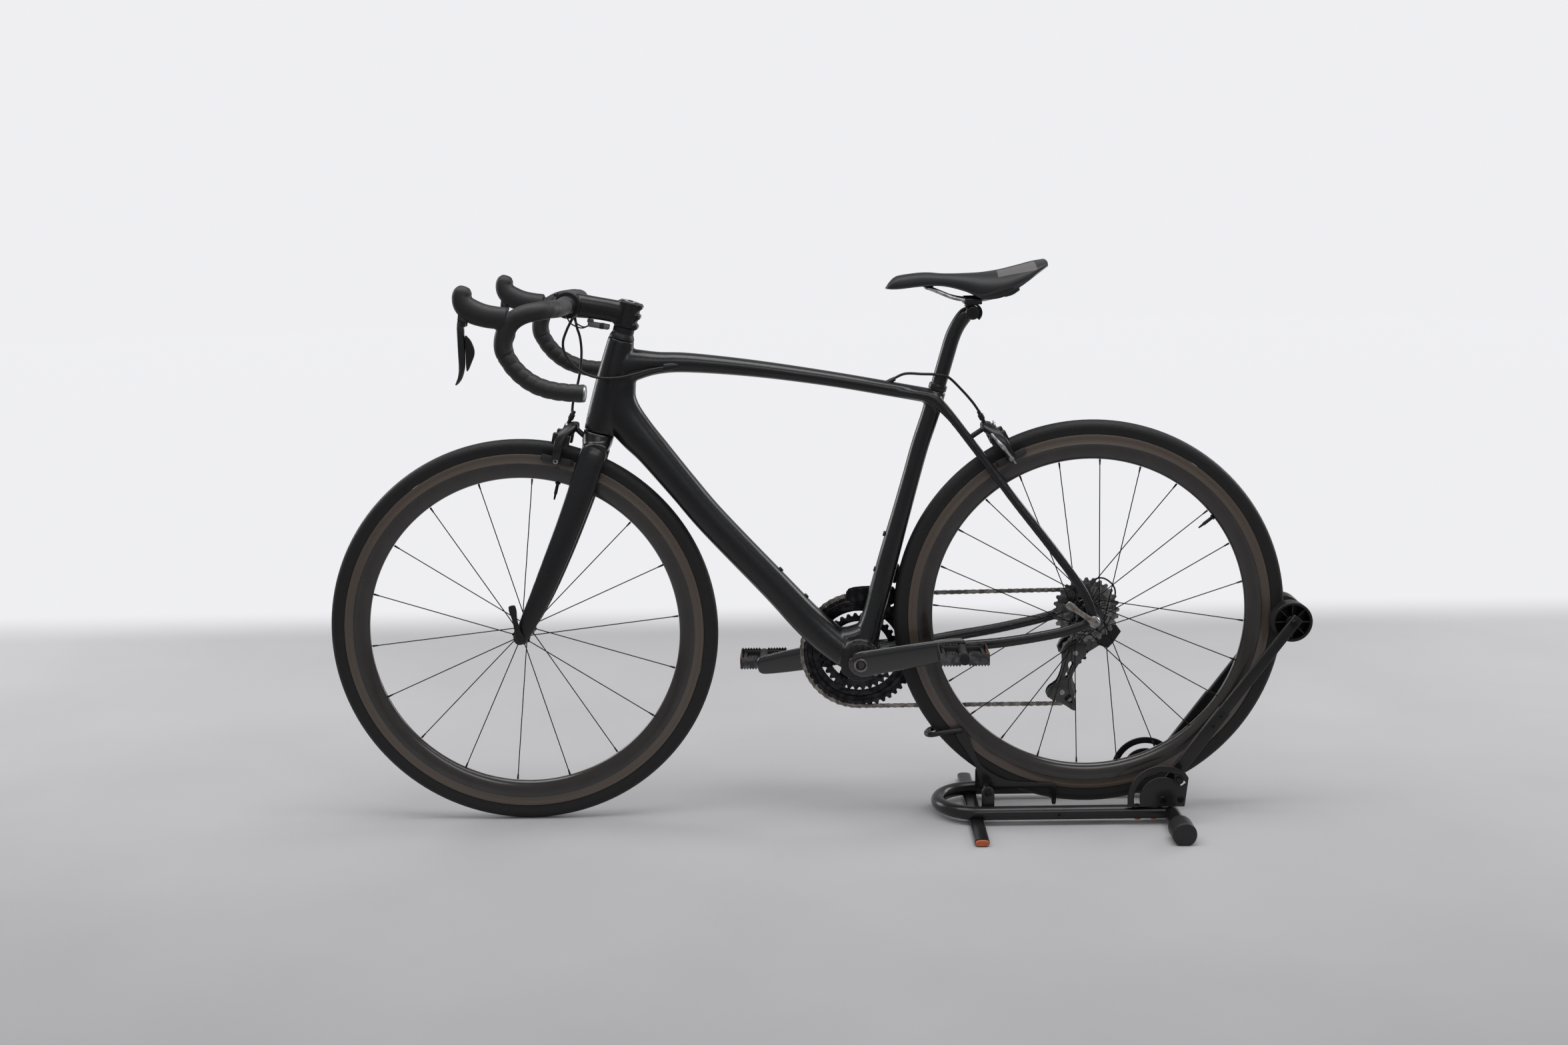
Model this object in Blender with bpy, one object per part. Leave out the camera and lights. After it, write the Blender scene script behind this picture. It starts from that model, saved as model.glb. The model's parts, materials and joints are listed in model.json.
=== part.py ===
"""Road bicycle held by a floor stand: every sub-part as its own solid.

Metres, +Z up. The floor is z = 0 and the bicycle's mid-plane is y = 0.
The bicycle points along -X, its drive side is +Y.
"""
import math

import bmesh
import bpy
from mathutils import Matrix, Vector

# ---- driving dimensions ----
GAP = 0.0003                    # clearance kept between neighbouring pieces
TYRE_TOP_R = 0.3365             # tyre's outside radius
TYRE_R = 0.0125                 # tyre's own section radius
RIM_OUTER_R = 0.3120
RIM_INNER_R = 0.2690
RIM_HALF_WIDTH = 0.0128
FRONT_AXLE = Vector((-0.5063, 0.0, 0.3365))
REAR_AXLE = Vector((0.4704, 0.0, 0.3550))
BB = Vector((0.0750, 0.0, 0.2830))          # bottom bracket's centre
STEER_TOP = Vector((-0.3200, 0.0, 0.8490))  # two points on the steering axis
STEER_LOW = Vector((-0.3670, 0.0, 0.6760))
FRONT_HUB_HALF = 0.0500         # half the width between the fork's ends
REAR_HUB_HALF = 0.0650
CRANK_LENGTH = 0.1725
CRANK_ANGLE = math.radians(10)
CHAIN_Y = 0.0455                # plane of the large ring, the chain and its cog
PITCH = 0.0127
RING_TEETH, COG_TEETH, PULLEY_TEETH = 50, 16, 11
GUIDE = Vector((0.4550, 0.0, 0.2750))       # jockey wheels
TENSION = Vector((0.4320, 0.0, 0.2040))
STEERER_R = 0.0143
POST_R = 0.0130
BAR_R = 0.0158
TAPE_R = 0.0145
HOOD_Y = 0.2130                 # half the width between the brake hoods
STAND_TUBE_R = 0.0120
STAND_TUBE_Y = 0.0720
STAND_TUBE_Z = 0.0200
ARM_PIVOT = Vector((0.5880, 0.0, 0.0460))
ROLLER_AXLE = Vector((0.8115, 0.0, 0.3440))
ROLLER_R = 0.0345
CRADLE_PIVOT = Vector((0.2920, 0.0, 0.0540))
REAR_FOOT_X = 0.6060

STEER_UP = (STEER_TOP - STEER_LOW).normalized()
SEAT_TOP = Vector((0.2110, 0.0, 0.7480))
SEAT_UP = (SEAT_TOP - BB).normalized()


def pitch_radius(teeth):
    return PITCH * teeth / (2 * math.pi)


# ---- scene set-up ----
for old in list(bpy.data.objects):
    bpy.data.objects.remove(old, do_unlink=True)
parts = bpy.data.collections.new("bicycle on stand")
cutters = bpy.data.collections.new("cutters")
bpy.context.scene.collection.children.link(parts)
bpy.context.scene.collection.children.link(cutters)


def finish_material(name, colour, roughness, metallic=0.0):
    material = bpy.data.materials.new(name)
    material.use_nodes = True
    shader = material.node_tree.nodes["Principled BSDF"]
    shader.inputs["Base Color"].default_value = (*colour, 1.0)
    shader.inputs["Roughness"].default_value = roughness
    shader.inputs["Metallic"].default_value = metallic
    return material


CARBON = finish_material("satin carbon", (0.018, 0.018, 0.020), 0.42)
RIM = finish_material("rim carbon", (0.045, 0.033, 0.026), 0.28)
TYRE = finish_material("tyre rubber", (0.016, 0.016, 0.017), 0.75)
TAPE = finish_material("bar tape", (0.022, 0.022, 0.023), 0.60)
RUBBER = finish_material("hood rubber", (0.020, 0.020, 0.021), 0.65)
GLOSS = finish_material("gloss black", (0.012, 0.012, 0.014), 0.16)
STEEL = finish_material("spoke steel", (0.030, 0.030, 0.032), 0.35, 0.8)
CHROME = finish_material("polished metal", (0.62, 0.62, 0.64), 0.18, 1.0)
CHAIN = finish_material("chain metal", (0.22, 0.21, 0.20), 0.35, 1.0)
SADDLE = finish_material("saddle cover", (0.022, 0.023, 0.026), 0.50)
POWDER = finish_material("powder coat", (0.014, 0.014, 0.016), 0.45)
PLASTIC = finish_material("black plastic", (0.015, 0.015, 0.016), 0.50)


# ---- tools ----
def add_mesh(name, bm, material):
    """A closed mesh object from a bmesh, with its faces pointing out."""
    bmesh.ops.recalc_face_normals(bm, faces=bm.faces)
    mesh = bpy.data.meshes.new(name)
    bm.to_mesh(mesh)
    bm.free()
    mesh.materials.append(material)
    mesh.shade_smooth()
    mesh.set_sharp_from_angle(angle=math.radians(35))
    piece = bpy.data.objects.new(name, mesh)
    parts.objects.link(piece)
    return piece


def place(piece, location=(0, 0, 0), rotation=None):
    """Move a piece's mesh, so that its origin stays at the world's."""
    matrix = Matrix.Translation(location)
    if rotation is not None:
        matrix = matrix @ rotation.to_4x4()
    piece.data.transform(matrix)
    return piece


def box(name, size, centre, material, tilt=0.0):
    """A block; tilt turns it about the y axis."""
    bm = bmesh.new()
    bmesh.ops.create_cube(bm, size=1.0)
    bmesh.ops.scale(bm, vec=size, verts=bm.verts)
    piece = add_mesh(name, bm, material)
    return place(piece, centre, Matrix.Rotation(tilt, 3, "Y"))


def rod(name, start, end, radius, material, end_radius=None, segments=16):
    """A round bar, or a cone, from start to end."""
    start, end = Vector(start), Vector(end)
    bm = bmesh.new()
    bmesh.ops.create_cone(bm, cap_ends=True, segments=segments, radius1=radius,
                          radius2=radius if end_radius is None else end_radius,
                          depth=(end - start).length)
    turn = (end - start).to_track_quat("Z", "Y").to_matrix()
    return place(add_mesh(name, bm, material), (start + end) / 2, turn)


def turned(name, centre, profile, material, steps=32):
    """A solid turned about the y axis through centre.

    The profile is a closed outline of (radius, y) points that stays off the axis.
    """
    bm = bmesh.new()
    rings = []
    for step in range(steps):
        angle = 2 * math.pi * step / steps
        rings.append([bm.verts.new((centre[0] + r * math.cos(angle), centre[1] + y,
                                    centre[2] + r * math.sin(angle)))
                      for r, y in profile])
    for step in range(steps):
        near, far = rings[step], rings[(step + 1) % steps]
        for k in range(len(profile)):
            after = (k + 1) % len(profile)
            bm.faces.new((near[k], near[after], far[after], far[k]))
    return add_mesh(name, bm, material)


def plate(name, outline, low_y, high_y, material, holes=()):
    """A flat sheet in the x-z plane, between two y values, with holes in it."""
    curve = bpy.data.curves.new(name, "CURVE")
    curve.dimensions = "2D"
    curve.fill_mode = "BOTH"
    curve.extrude = (high_y - low_y) / 2
    for loop in [outline, *holes]:
        spline = curve.splines.new("POLY")
        spline.points.add(len(loop) - 1)
        for point, (x, z) in zip(spline.points, loop):
            point.co = (x, z, 0, 1)
        spline.use_cyclic_u = True
    return curve_solid(name, curve, material, Matrix.Rotation(math.pi / 2, 3, "X"),
                       (0, (low_y + high_y) / 2, 0))


def curve_solid(name, curve, material, rotation=None, location=(0, 0, 0)):
    """The closed mesh that a curve makes."""
    guide = bpy.data.objects.new(name + " curve", curve)
    parts.objects.link(guide)
    evaluated = guide.evaluated_get(bpy.context.evaluated_depsgraph_get())
    mesh = bpy.data.meshes.new_from_object(evaluated)
    bpy.data.objects.remove(guide, do_unlink=True)
    bm = bmesh.new()
    bm.from_mesh(mesh)
    bmesh.ops.remove_doubles(bm, verts=bm.verts, dist=0.00002)
    return place(add_mesh(name, bm, material), location, rotation)


def smooth_path(points, steps=4):
    """Points along a smooth curve through the given ones."""
    points = [Vector(p) for p in points]
    ends = [2 * points[0] - points[1], *points, 2 * points[-1] - points[-2]]
    path = []
    for k in range(len(points) - 1):
        a, b, c, d = ends[k:k + 4]
        for step in range(steps):
            t = step / steps
            path.append(0.5 * (2 * b + (c - a) * t + (2 * a - 5 * b + 4 * c - d) * t ** 2
                               + (3 * b - a - 3 * c + d) * t ** 3))
    return [*path, points[-1]]


def tube(name, path, radius, material, resolution=2):
    """A round tube along a path, with filled ends."""
    curve = bpy.data.curves.new(name, "CURVE")
    curve.dimensions = "3D"
    curve.bevel_depth = radius
    curve.bevel_resolution = resolution
    curve.use_fill_caps = True
    spline = curve.splines.new("POLY")
    spline.points.add(len(path) - 1)
    for point, place_at in zip(spline.points, path):
        point.co = (*place_at, 1)
    return curve_solid(name, curve, material)


def loft(name, stations, material, sides=16, power=2.0, across=(0, 1, 0)):
    """A solid through oval sections: each station is (x, y, z, half height, half width).

    The height lies in the plane of travel and the width along `across`.
    """
    centres = [Vector(s[:3]) for s in stations]
    bm = bmesh.new()
    rings = []
    for k, station in enumerate(stations):
        travel = (centres[min(k + 1, len(centres) - 1)] - centres[max(k - 1, 0)]).normalized()
        side = Vector(across)
        side = (side - travel * side.dot(travel)).normalized()
        up = travel.cross(side)
        ring = []
        for step in range(sides):
            angle = 2 * math.pi * step / sides
            cos, sin = math.cos(angle), math.sin(angle)
            rise = math.copysign(abs(sin) ** (2 / power), sin) * station[3]
            run = math.copysign(abs(cos) ** (2 / power), cos) * station[4]
            ring.append(bm.verts.new(centres[k] + up * rise + side * run))
        rings.append(ring)
    for near, far in zip(rings, rings[1:]):
        for step in range(sides):
            after = (step + 1) % sides
            bm.faces.new((near[step], near[after], far[after], far[step]))
    bm.faces.new(rings[0])
    bm.faces.new(rings[-1])
    return add_mesh(name, bm, material)


def joined(pieces, cuts=()):
    """One solid: the first piece with the others added and the cuts taken away."""
    base = pieces[0]
    for operation, operands in (("UNION", pieces[1:]), ("DIFFERENCE", cuts)):
        for other in operands:
            change = base.modifiers.new(other.name, "BOOLEAN")
            change.operation = operation
            change.object = other
            change.solver = "EXACT"
    evaluated = base.evaluated_get(bpy.context.evaluated_depsgraph_get())
    mesh = bpy.data.meshes.new_from_object(evaluated)
    base.modifiers.clear()
    mesh.name = base.name
    base.data = mesh
    for other in [*pieces[1:], *cuts]:
        bpy.data.objects.remove(other, do_unlink=True)
    return base


def mirrored(stations):
    """The same stations on the bicycle's other side."""
    return [(s[0], -s[1], *s[2:]) for s in stations]


def ring_plate(name, centre, inner, outer, low_y, high_y, material, steps=32):
    """A flat ring about the y axis."""
    profile = [(inner, low_y), (outer, low_y), (outer, high_y), (inner, high_y)]
    return turned(name, centre, profile, material, steps)


def along(start, direction, distance):
    return Vector(start) + Vector(direction) * distance


# ---- stand ----
def stand_base():
    """The welded floor frame: a U of tube on a flat front foot and a rear cross tube."""
    half = STAND_TUBE_Y
    z = STAND_TUBE_Z
    bend = [Vector((0.282 - half * math.sin(a), -half * math.cos(a), z))
            for a in [math.pi * k / 12 for k in range(13)]]
    path = [Vector((0.604, -half, z)), *bend, Vector((0.604, half, z))]
    loop = tube("stand_base", path, STAND_TUBE_R, POWDER, 2)
    foot = loft("foot", [(0.271, -0.188, 0.0068, 0.0068, 0.0125),
                         (0.271, 0.188, 0.0068, 0.0068, 0.0125)], POWDER,
                sides=16, power=3.0, across=(1, 0, 0))
    cross = rod("cross", (REAR_FOOT_X, -0.149, 0.0185), (REAR_FOOT_X, 0.149, 0.0185), 0.0135,
                POWDER)
    posts = []
    for side in (-1, 1):
        posts.append(box("post", (0.022, 0.006, 0.038), (0.292, side * 0.063, 0.045), POWDER))
        posts.append(rod("post bolt", (0.292, side * 0.0661 - 0.001, CRADLE_PIVOT.z),
                         (0.292, side * 0.0661 + 0.001, CRADLE_PIVOT.z), 0.007, POWDER,
                         segments=12))
    return joined([loop, foot, cross, *posts])


def stand_rear_foot(name, side):
    """A rubber end: round with a flat underside."""
    centre_z, radius = 0.0187, 0.0207
    start = math.asin(centre_z / radius)
    outline = []
    for k in range(17):
        angle = -start + (math.pi + 2 * start) * k / 16
        outline.append((REAR_FOOT_X + radius * math.cos(angle), centre_z + radius * math.sin(angle)))
    low, high = sorted((side * (0.149 + GAP), side * 0.1950))
    return plate(name, outline, low, high, RUBBER)


def stand_bracket(name, side):
    """An arched plate with the arm's curved slot, bolted outside the floor tube."""
    low, high = sorted((side * (STAND_TUBE_Y + STAND_TUBE_R + GAP), side * 0.0884))
    centre = ARM_PIVOT
    arch = [(centre.x + 0.060 * math.cos(a), centre.z + 0.060 * math.sin(a))
            for a in [math.radians(50 + 125 * k / 10) for k in range(11)]]
    outline = [(0.6260, 0.0335), (0.6320, 0.0840), *arch, (0.5280, 0.0335)]
    slot = [(centre.x + 0.049 * math.cos(a), centre.z + 0.049 * math.sin(a))
            for a in [math.radians(36 + 160 * k / 12) for k in range(13)]]
    slot += [(centre.x + 0.039 * math.cos(a), centre.z + 0.039 * math.sin(a))
             for a in [math.radians(196 - 160 * k / 12) for k in range(13)]]
    return plate(name, outline, low, high, POWDER, holes=[slot])


def stand_arm():
    """Two box-section bars joined by the rollers' shaft; each turns on its own stub pin."""
    reach = ROLLER_AXLE - ARM_PIVOT
    length = reach.length
    tilt = math.atan2(reach.x, reach.z)
    direction = reach.normalized()
    middle = along(ARM_PIVOT, direction, length / 2)
    bars = []
    for side in (-1, 1):
        centre = (middle.x, side * 0.0535, middle.z)
        name = "stand_arm" if side < 0 else "bar"
        bars.append(box(name, (0.0220, 0.0100, length + 0.030), centre, POWDER, tilt))
        stub = sorted((side * 0.0570, side * 0.0838))
        bars.append(rod("stub", (ARM_PIVOT.x, stub[0], ARM_PIVOT.z),
                        (ARM_PIVOT.x, stub[1], ARM_PIVOT.z), 0.0050, POWDER, segments=12))
        pin = along(ARM_PIVOT, direction, 0.044)
        outer = sorted((side * 0.0570, side * 0.0910))
        bars.append(rod("slot pin", (pin.x, outer[0], pin.z), (pin.x, outer[1], pin.z),
                        0.0042, POWDER, segments=12))
    shaft = rod("shaft", (ROLLER_AXLE.x, -0.0570, ROLLER_AXLE.z),
                (ROLLER_AXLE.x, 0.0570, ROLLER_AXLE.z), 0.0040, POWDER, segments=12)
    return joined([*bars, shaft])


def stand_roller(name, side):
    """A plastic wheel beside the tyre, hollow on its outer face."""
    inner, outer = 0.0165, 0.0475
    profile = [(0.0044, inner), (0.0300, inner), (ROLLER_R, inner + 0.004),
               (ROLLER_R, outer), (0.0290, outer), (0.0290, inner + 0.006),
               (0.0110, inner + 0.006), (0.0110, outer), (0.0044, outer)]
    profile = [(r, side * y) for r, y in profile]
    return turned(name, ROLLER_AXLE, profile, PLASTIC, steps=20)


def stand_cradle():
    """Two cheek plates beside the tyre, a round hook in front of it, and the tilt axle."""
    cheek = [(0.2560, 0.1550), (0.2440, 0.1550), (0.2400, 0.1440), (0.2580, 0.1160),
             (0.2740, 0.0890), (0.2810, 0.0650), (0.2830, 0.0440), (0.3020, 0.0430),
             (0.3250, 0.0450), (0.3400, 0.0470), (0.3640, 0.0475), (0.3990, 0.0480),
             (0.4050, 0.0450), (0.4070, 0.0180), (0.4110, 0.0160), (0.4155, 0.0190),
             (0.4165, 0.0500), (0.4120, 0.0550), (0.4020, 0.0560), (0.3400, 0.0590),
             (0.3154, 0.0680), (0.2880, 0.0860), (0.2770, 0.1040), (0.2668, 0.1290)]
    pieces = []
    for side in (-1, 1):
        low, high = sorted((side * 0.0160, side * 0.0190))
        name = "stand_cradle" if side < 0 else "cheek"
        pieces.append(plate(name, cheek, low, high, POWDER))
    half = [(0.2500, 0.0195, 0.1535), (0.2180, 0.0200, 0.1500), (0.2000, 0.0175, 0.1460),
            (0.1930, 0.0095, 0.1440)]
    hook = [(x, -y, z) for x, y, z in half] + [(0.1905, 0.0, 0.1435)] + half[::-1]
    pieces.append(tube("hook", smooth_path(hook, 2), 0.0050, POWDER, 1))
    pieces.append(rod("tilt axle", (CRADLE_PIVOT.x, -0.0597, CRADLE_PIVOT.z),
                      (CRADLE_PIVOT.x, 0.0597, CRADLE_PIVOT.z), 0.0050, POWDER, segments=12))
    return joined(pieces)


# ---- bicycle frame ----
DOWN_TUBE = [(-0.319, 0, 0.800, 0.0200, 0.0200), (-0.324, 0, 0.770, 0.0245, 0.0210),
             (-0.329, 0, 0.740, 0.0290, 0.0220), (-0.323, 0, 0.710, 0.0330, 0.0230),
             (-0.302, 0, 0.680, 0.0315, 0.0240), (-0.275, 0, 0.649, 0.0285, 0.0248),
             (-0.222, 0, 0.583, 0.0265, 0.0250), (-0.173, 0, 0.523, 0.0265, 0.0250),
             (-0.070, 0, 0.411, 0.0265, 0.0260), (-0.010, 0, 0.345, 0.0280, 0.0290),
             (0.040, 0, 0.302, 0.0290, 0.0360), (0.070, 0, 0.285, 0.0290, 0.0380)]
TOP_TUBE = [(-0.335, 0, 0.7900, 0.030, 0.020), (-0.306, 0, 0.7960, 0.0280, 0.0205),
            (-0.262, 0, 0.7990, 0.0190, 0.0205), (-0.207, 0, 0.7985, 0.0166, 0.0200),
            (-0.098, 0, 0.7870, 0.0143, 0.0190), (0.024, 0, 0.7685, 0.0128, 0.0175),
            (0.133, 0, 0.7485, 0.0126, 0.0160), (0.206, 0, 0.7345, 0.0126, 0.0150)]
SEAT_TUBE = [(0.2105, 0, 0.7450, 0.0156, 0.0158), (0.1990, 0, 0.7050, 0.0156, 0.0158),
             (0.1815, 0, 0.6530, 0.0155, 0.0160), (0.1650, 0, 0.5950, 0.0155, 0.0165),
             (0.1470, 0, 0.5310, 0.0163, 0.0175), (0.1285, 0, 0.4660, 0.0178, 0.0190),
             (0.1130, 0, 0.4090, 0.0183, 0.0210), (0.0980, 0, 0.3550, 0.0190, 0.0260),
             (0.0800, 0, 0.2950, 0.0250, 0.0340)]
CHAIN_STAY = [(0.088, 0.022, 0.2850, 0.0150, 0.0110), (0.120, 0.0270, 0.2900, 0.0125, 0.0085),
              (0.175, 0.0285, 0.2985, 0.0105, 0.0075), (0.240, 0.0400, 0.3080, 0.0098, 0.0075),
              (0.320, 0.0540, 0.3180, 0.0092, 0.0075), (0.400, 0.0640, 0.3330, 0.0090, 0.0068),
              (0.440, 0.0675, 0.3440, 0.0090, 0.0050), (0.464, 0.0685, 0.3530, 0.0080, 0.0032)]
SEAT_STAY = [(0.150, 0.0130, 0.7440, 0.0080, 0.0060), (0.180, 0.0150, 0.7400, 0.0090, 0.0060),
             (0.203, 0.0155, 0.7320, 0.0100, 0.0060), (0.222, 0.0170, 0.7140, 0.0090, 0.0060),
             (0.240, 0.0200, 0.6930, 0.0080, 0.0058), (0.270, 0.0245, 0.6530, 0.0078, 0.0058),
             (0.303, 0.0300, 0.6090, 0.0078, 0.0058), (0.340, 0.0395, 0.5580, 0.0078, 0.0058),
             (0.390, 0.0520, 0.4930, 0.0078, 0.0058), (0.435, 0.0620, 0.4330, 0.0078, 0.0056),
             (0.458, 0.0670, 0.3950, 0.0080, 0.0044), (0.468, 0.0685, 0.3620, 0.0090, 0.0032)]


def frame_dropout(side):
    """The end plate that holds the rear axle."""
    outline = [(REAR_AXLE.x + 0.0125 * math.cos(a), REAR_AXLE.z + 0.0125 * math.sin(a))
               for a in [math.radians(-110 + 40 * k) for k in range(7)]]
    outline += [(0.4520, 0.3580), (0.4560, 0.3440)]
    low, high = sorted((side * 0.0653, side * 0.0712))
    return plate("dropout", outline, low, high, CARBON)


def frame_solid():
    """The one-piece frame, bored for steerer, seat post and crank spindle."""
    pieces = [loft("frame", DOWN_TUBE, CARBON, sides=14, power=2.3)]
    pieces.append(loft("top tube", TOP_TUBE, CARBON, sides=12, power=2.3))
    pieces.append(loft("seat tube", SEAT_TUBE, CARBON, sides=14))
    head = [(*along(STEER_TOP, STEER_UP, d), r, r * 0.94) for d, r in
            ((-0.0090, 0.0225), (-0.0350, 0.0240), (-0.0900, 0.0265), (-0.1400, 0.0270),
             (-0.1720, 0.0262))]
    pieces.append(loft("head tube", head, CARBON, sides=16))
    pieces.append(rod("shell", (BB.x, -0.0410, BB.z), (BB.x, 0.0410, BB.z), 0.0350, CARBON,
                      segments=20))
    for stations in (CHAIN_STAY, SEAT_STAY):
        pieces.append(loft("right stay", stations, CARBON, sides=8))
        pieces.append(loft("left stay", mirrored(stations), CARBON, sides=8))
    for side in (1, -1):
        pieces.append(frame_dropout(side))
    pieces.append(rod("brake bridge", (0.2640, -0.0220, 0.6620), (0.2640, 0.0220, 0.6620),
                      0.0065, CARBON, segments=12))
    steerer = rod("steerer bore", along(STEER_LOW, STEER_UP, -0.03),
                  along(STEER_TOP, STEER_UP, 0.03), STEERER_R + GAP, CARBON)
    post = rod("post bore", along(SEAT_TOP, SEAT_UP, -0.160), along(SEAT_TOP, SEAT_UP, 0.03),
               POST_R + GAP, CARBON)
    spindle = rod("spindle bore", (BB.x, -0.06, BB.z), (BB.x, 0.06, BB.z), 0.0155, CARBON)
    return joined(pieces, [steerer, post, spindle])


def seat_collar():
    """The clamp ring around the post, above the seat tube."""
    low = along(SEAT_TOP, SEAT_UP, -0.0022)
    ring = rod("seat_collar", low, along(low, SEAT_UP, 0.0120), 0.0165, PLASTIC, segments=24)
    hole = rod("hole", along(low, SEAT_UP, -0.01), along(low, SEAT_UP, 0.03), POST_R + GAP,
               PLASTIC)
    return joined([ring], [hole])


def seat_post():
    """The post: straight in the seat tube, then bent back to the saddle clamp."""
    low = along(SEAT_TOP, SEAT_UP, -0.0800)
    bend = along(SEAT_TOP, SEAT_UP, 0.0700)
    stations = [(*low, POST_R, POST_R), (*along(SEAT_TOP, SEAT_UP, 0.02), POST_R, POST_R),
                (*bend, POST_R, POST_R), (0.2375, 0, 0.8370, POST_R, POST_R),
                (0.2460, 0, 0.8560, 0.0130, 0.0130), (0.2590, 0, 0.8730, 0.0130, 0.0140),
                (0.2650, 0, 0.8780, 0.0080, 0.0150)]
    post = loft("seat_post", stations, CARBON)
    head = rod("head", (0.2700, -0.0180, 0.8760), (0.2700, 0.0180, 0.8760), 0.0122, CARBON)
    return joined([post, head])


# ---- saddle ----
SADDLE_SECTIONS = [(0.1250, 0.9200, 0.9270, 0.0100), (0.1310, 0.9180, 0.9345, 0.0165),
                   (0.1520, 0.9180, 0.9430, 0.0200), (0.1850, 0.9215, 0.9445, 0.0210),
                   (0.2200, 0.9215, 0.9430, 0.0240), (0.2550, 0.9130, 0.9430, 0.0340),
                   (0.2850, 0.9010, 0.9440, 0.0500), (0.3150, 0.9040, 0.9475, 0.0640),
                   (0.3450, 0.9220, 0.9540, 0.0715), (0.3700, 0.9400, 0.9600, 0.0700),
                   (0.3900, 0.9530, 0.9635, 0.0560)]


def saddle_section(bm, x, low, high, half, sides=10):
    """A dome whose edges reach down to low, with a hollow underside between them."""
    under = max(low, high - 0.0220)
    ring = [(half * math.cos(math.pi * k / sides),
             low + (high - low) * math.sin(math.pi * k / sides) ** 0.6)
            for k in range(sides + 1)]
    ring += [(-half * 0.84, low + (under - low) * 0.25), (-half * 0.50, under),
             (half * 0.50, under), (half * 0.84, low + (under - low) * 0.25)]
    return [bm.verts.new((x, y, z)) for y, z in ring]


def base_section(bm, x, low, high, half):
    """A flat slab just under the pad's middle."""
    top = max(low, high - 0.0220) - GAP
    return [bm.verts.new((x, share * half * 0.48, z))
            for share, z in ((1, top - 0.0040), (1, top), (-1, top), (-1, top - 0.0040))]


def saddle_loft(name, sections, section, material):
    bm = bmesh.new()
    rings = [section(bm, *values) for values in sections]
    for near, far in zip(rings, rings[1:]):
        for k in range(len(near)):
            after = (k + 1) % len(near)
            bm.faces.new((near[k], near[after], far[after], far[k]))
    bm.faces.new(rings[0])
    bm.faces.new(rings[-1])
    return add_mesh(name, bm, material)


def saddle_pad():
    return saddle_loft("saddle_pad", SADDLE_SECTIONS, saddle_section, SADDLE)


def saddle_base():
    """The stiff shell under the pad, which takes the rails."""
    return saddle_loft("saddle_base", SADDLE_SECTIONS[2:9], base_section, PLASTIC)


def saddle_rails():
    """Two rails joined at the nose by a bend."""
    side = [(0.3300, 0.0220, 0.9090), (0.3100, 0.0220, 0.9035), (0.2850, 0.0220, 0.9000),
            (0.2600, 0.0220, 0.9000), (0.2350, 0.0205, 0.9040), (0.2100, 0.0165, 0.9090),
            (0.1950, 0.0120, 0.9120), (0.1870, 0.0060, 0.9130)]
    other = [(x, -y, z) for x, y, z in reversed(side)]
    return tube("saddle_rails", smooth_path([*side, *other], 2), 0.0035, CHROME, 1)


def saddle_clamp():
    """The cradle block under the rails."""
    return box("saddle_clamp", (0.036, 0.054, 0.0070), (0.2700, 0, 0.8920), PLASTIC)


# ---- wheels ----
def tyre(name, axle):
    """A tyre's round section with side walls down to the rim's edge."""
    centre_r = TYRE_TOP_R - TYRE_R
    reach = math.radians(100)
    edge_r = RIM_OUTER_R + 2 * GAP
    outline = [(edge_r, -0.0113)]
    for k in range(9):
        angle = -reach + 2 * reach * k / 8
        outline.append((centre_r + TYRE_R * math.cos(angle), TYRE_R * math.sin(angle)))
    outline.append((edge_r, 0.0113))
    return turned(name, axle, outline, TYRE, steps=32)


def rim(name, axle):
    """A deep rim: parallel brake tracks, then bulged sides down to a narrow inner edge."""
    half = [(RIM_OUTER_R, 0.0115), (RIM_OUTER_R - 0.0015, RIM_HALF_WIDTH),
            (0.2950, 0.0126), (0.2760, 0.0095), (RIM_INNER_R, 0.0)]
    profile = half + [(r, -y) for r, y in reversed(half[:-1])]
    return turned(name, axle, profile, RIM, steps=32)


def hub(name, axle, half, flanges):
    """A hub barrel with two spoke flanges; the skewer's ends reach the frame's outer faces."""
    body = [(0.0045, -half + GAP), (0.0085, -half + GAP), (0.0085, -half + 0.010)]
    for y, r in flanges:
        body += [(0.0120, y - 0.0020), (r, y - 0.0014), (r, y + 0.0014), (0.0120, y + 0.0020)]
    body += [(0.0085, half - 0.010), (0.0085, half - GAP), (0.0045, half - GAP)]
    return turned(name, axle, body, GLOSS, steps=14)


def spokes(name, axle, flanges, count, crossing, phase, rim_y=0.0030):
    """All of a wheel's spokes, held together by the thin ring of their nipples."""
    ring = ring_plate(name, axle, RIM_INNER_R - 0.0052, RIM_INNER_R - 0.0022, -0.0034, 0.0034,
                      STEEL, 2 * count)
    pieces = [ring]
    for side, (flange_y, flange_r) in enumerate(flanges):
        bm = bmesh.new()
        for k in range(count // 2):
            rim_angle = 2 * math.pi * (2 * k + side + phase) / count
            lean = crossing * (1 if k % 2 else -1)
            hub_angle = rim_angle + lean
            y = flange_y + (0.0026 if k % 2 else -0.0026)
            start = Vector((axle.x + flange_r * math.cos(hub_angle), y,
                            axle.z + flange_r * math.sin(hub_angle)))
            rim_side = rim_y if flange_y > 0 else -rim_y
            end = Vector((axle.x + (RIM_INNER_R - 0.0047) * math.cos(rim_angle), rim_side * 0.5,
                          axle.z + (RIM_INNER_R - 0.0047) * math.sin(rim_angle)))
            turn = (end - start).to_track_quat("Z", "Y").to_matrix().to_4x4()
            place_at = Matrix.Translation((start + end) / 2) @ turn
            bmesh.ops.create_cone(bm, cap_ends=True, segments=4, radius1=0.0010,
                                  radius2=0.0010, depth=(end - start).length, matrix=place_at)
        pieces.append(add_mesh("spoke set", bm, STEEL))
    return joined(pieces)


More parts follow.
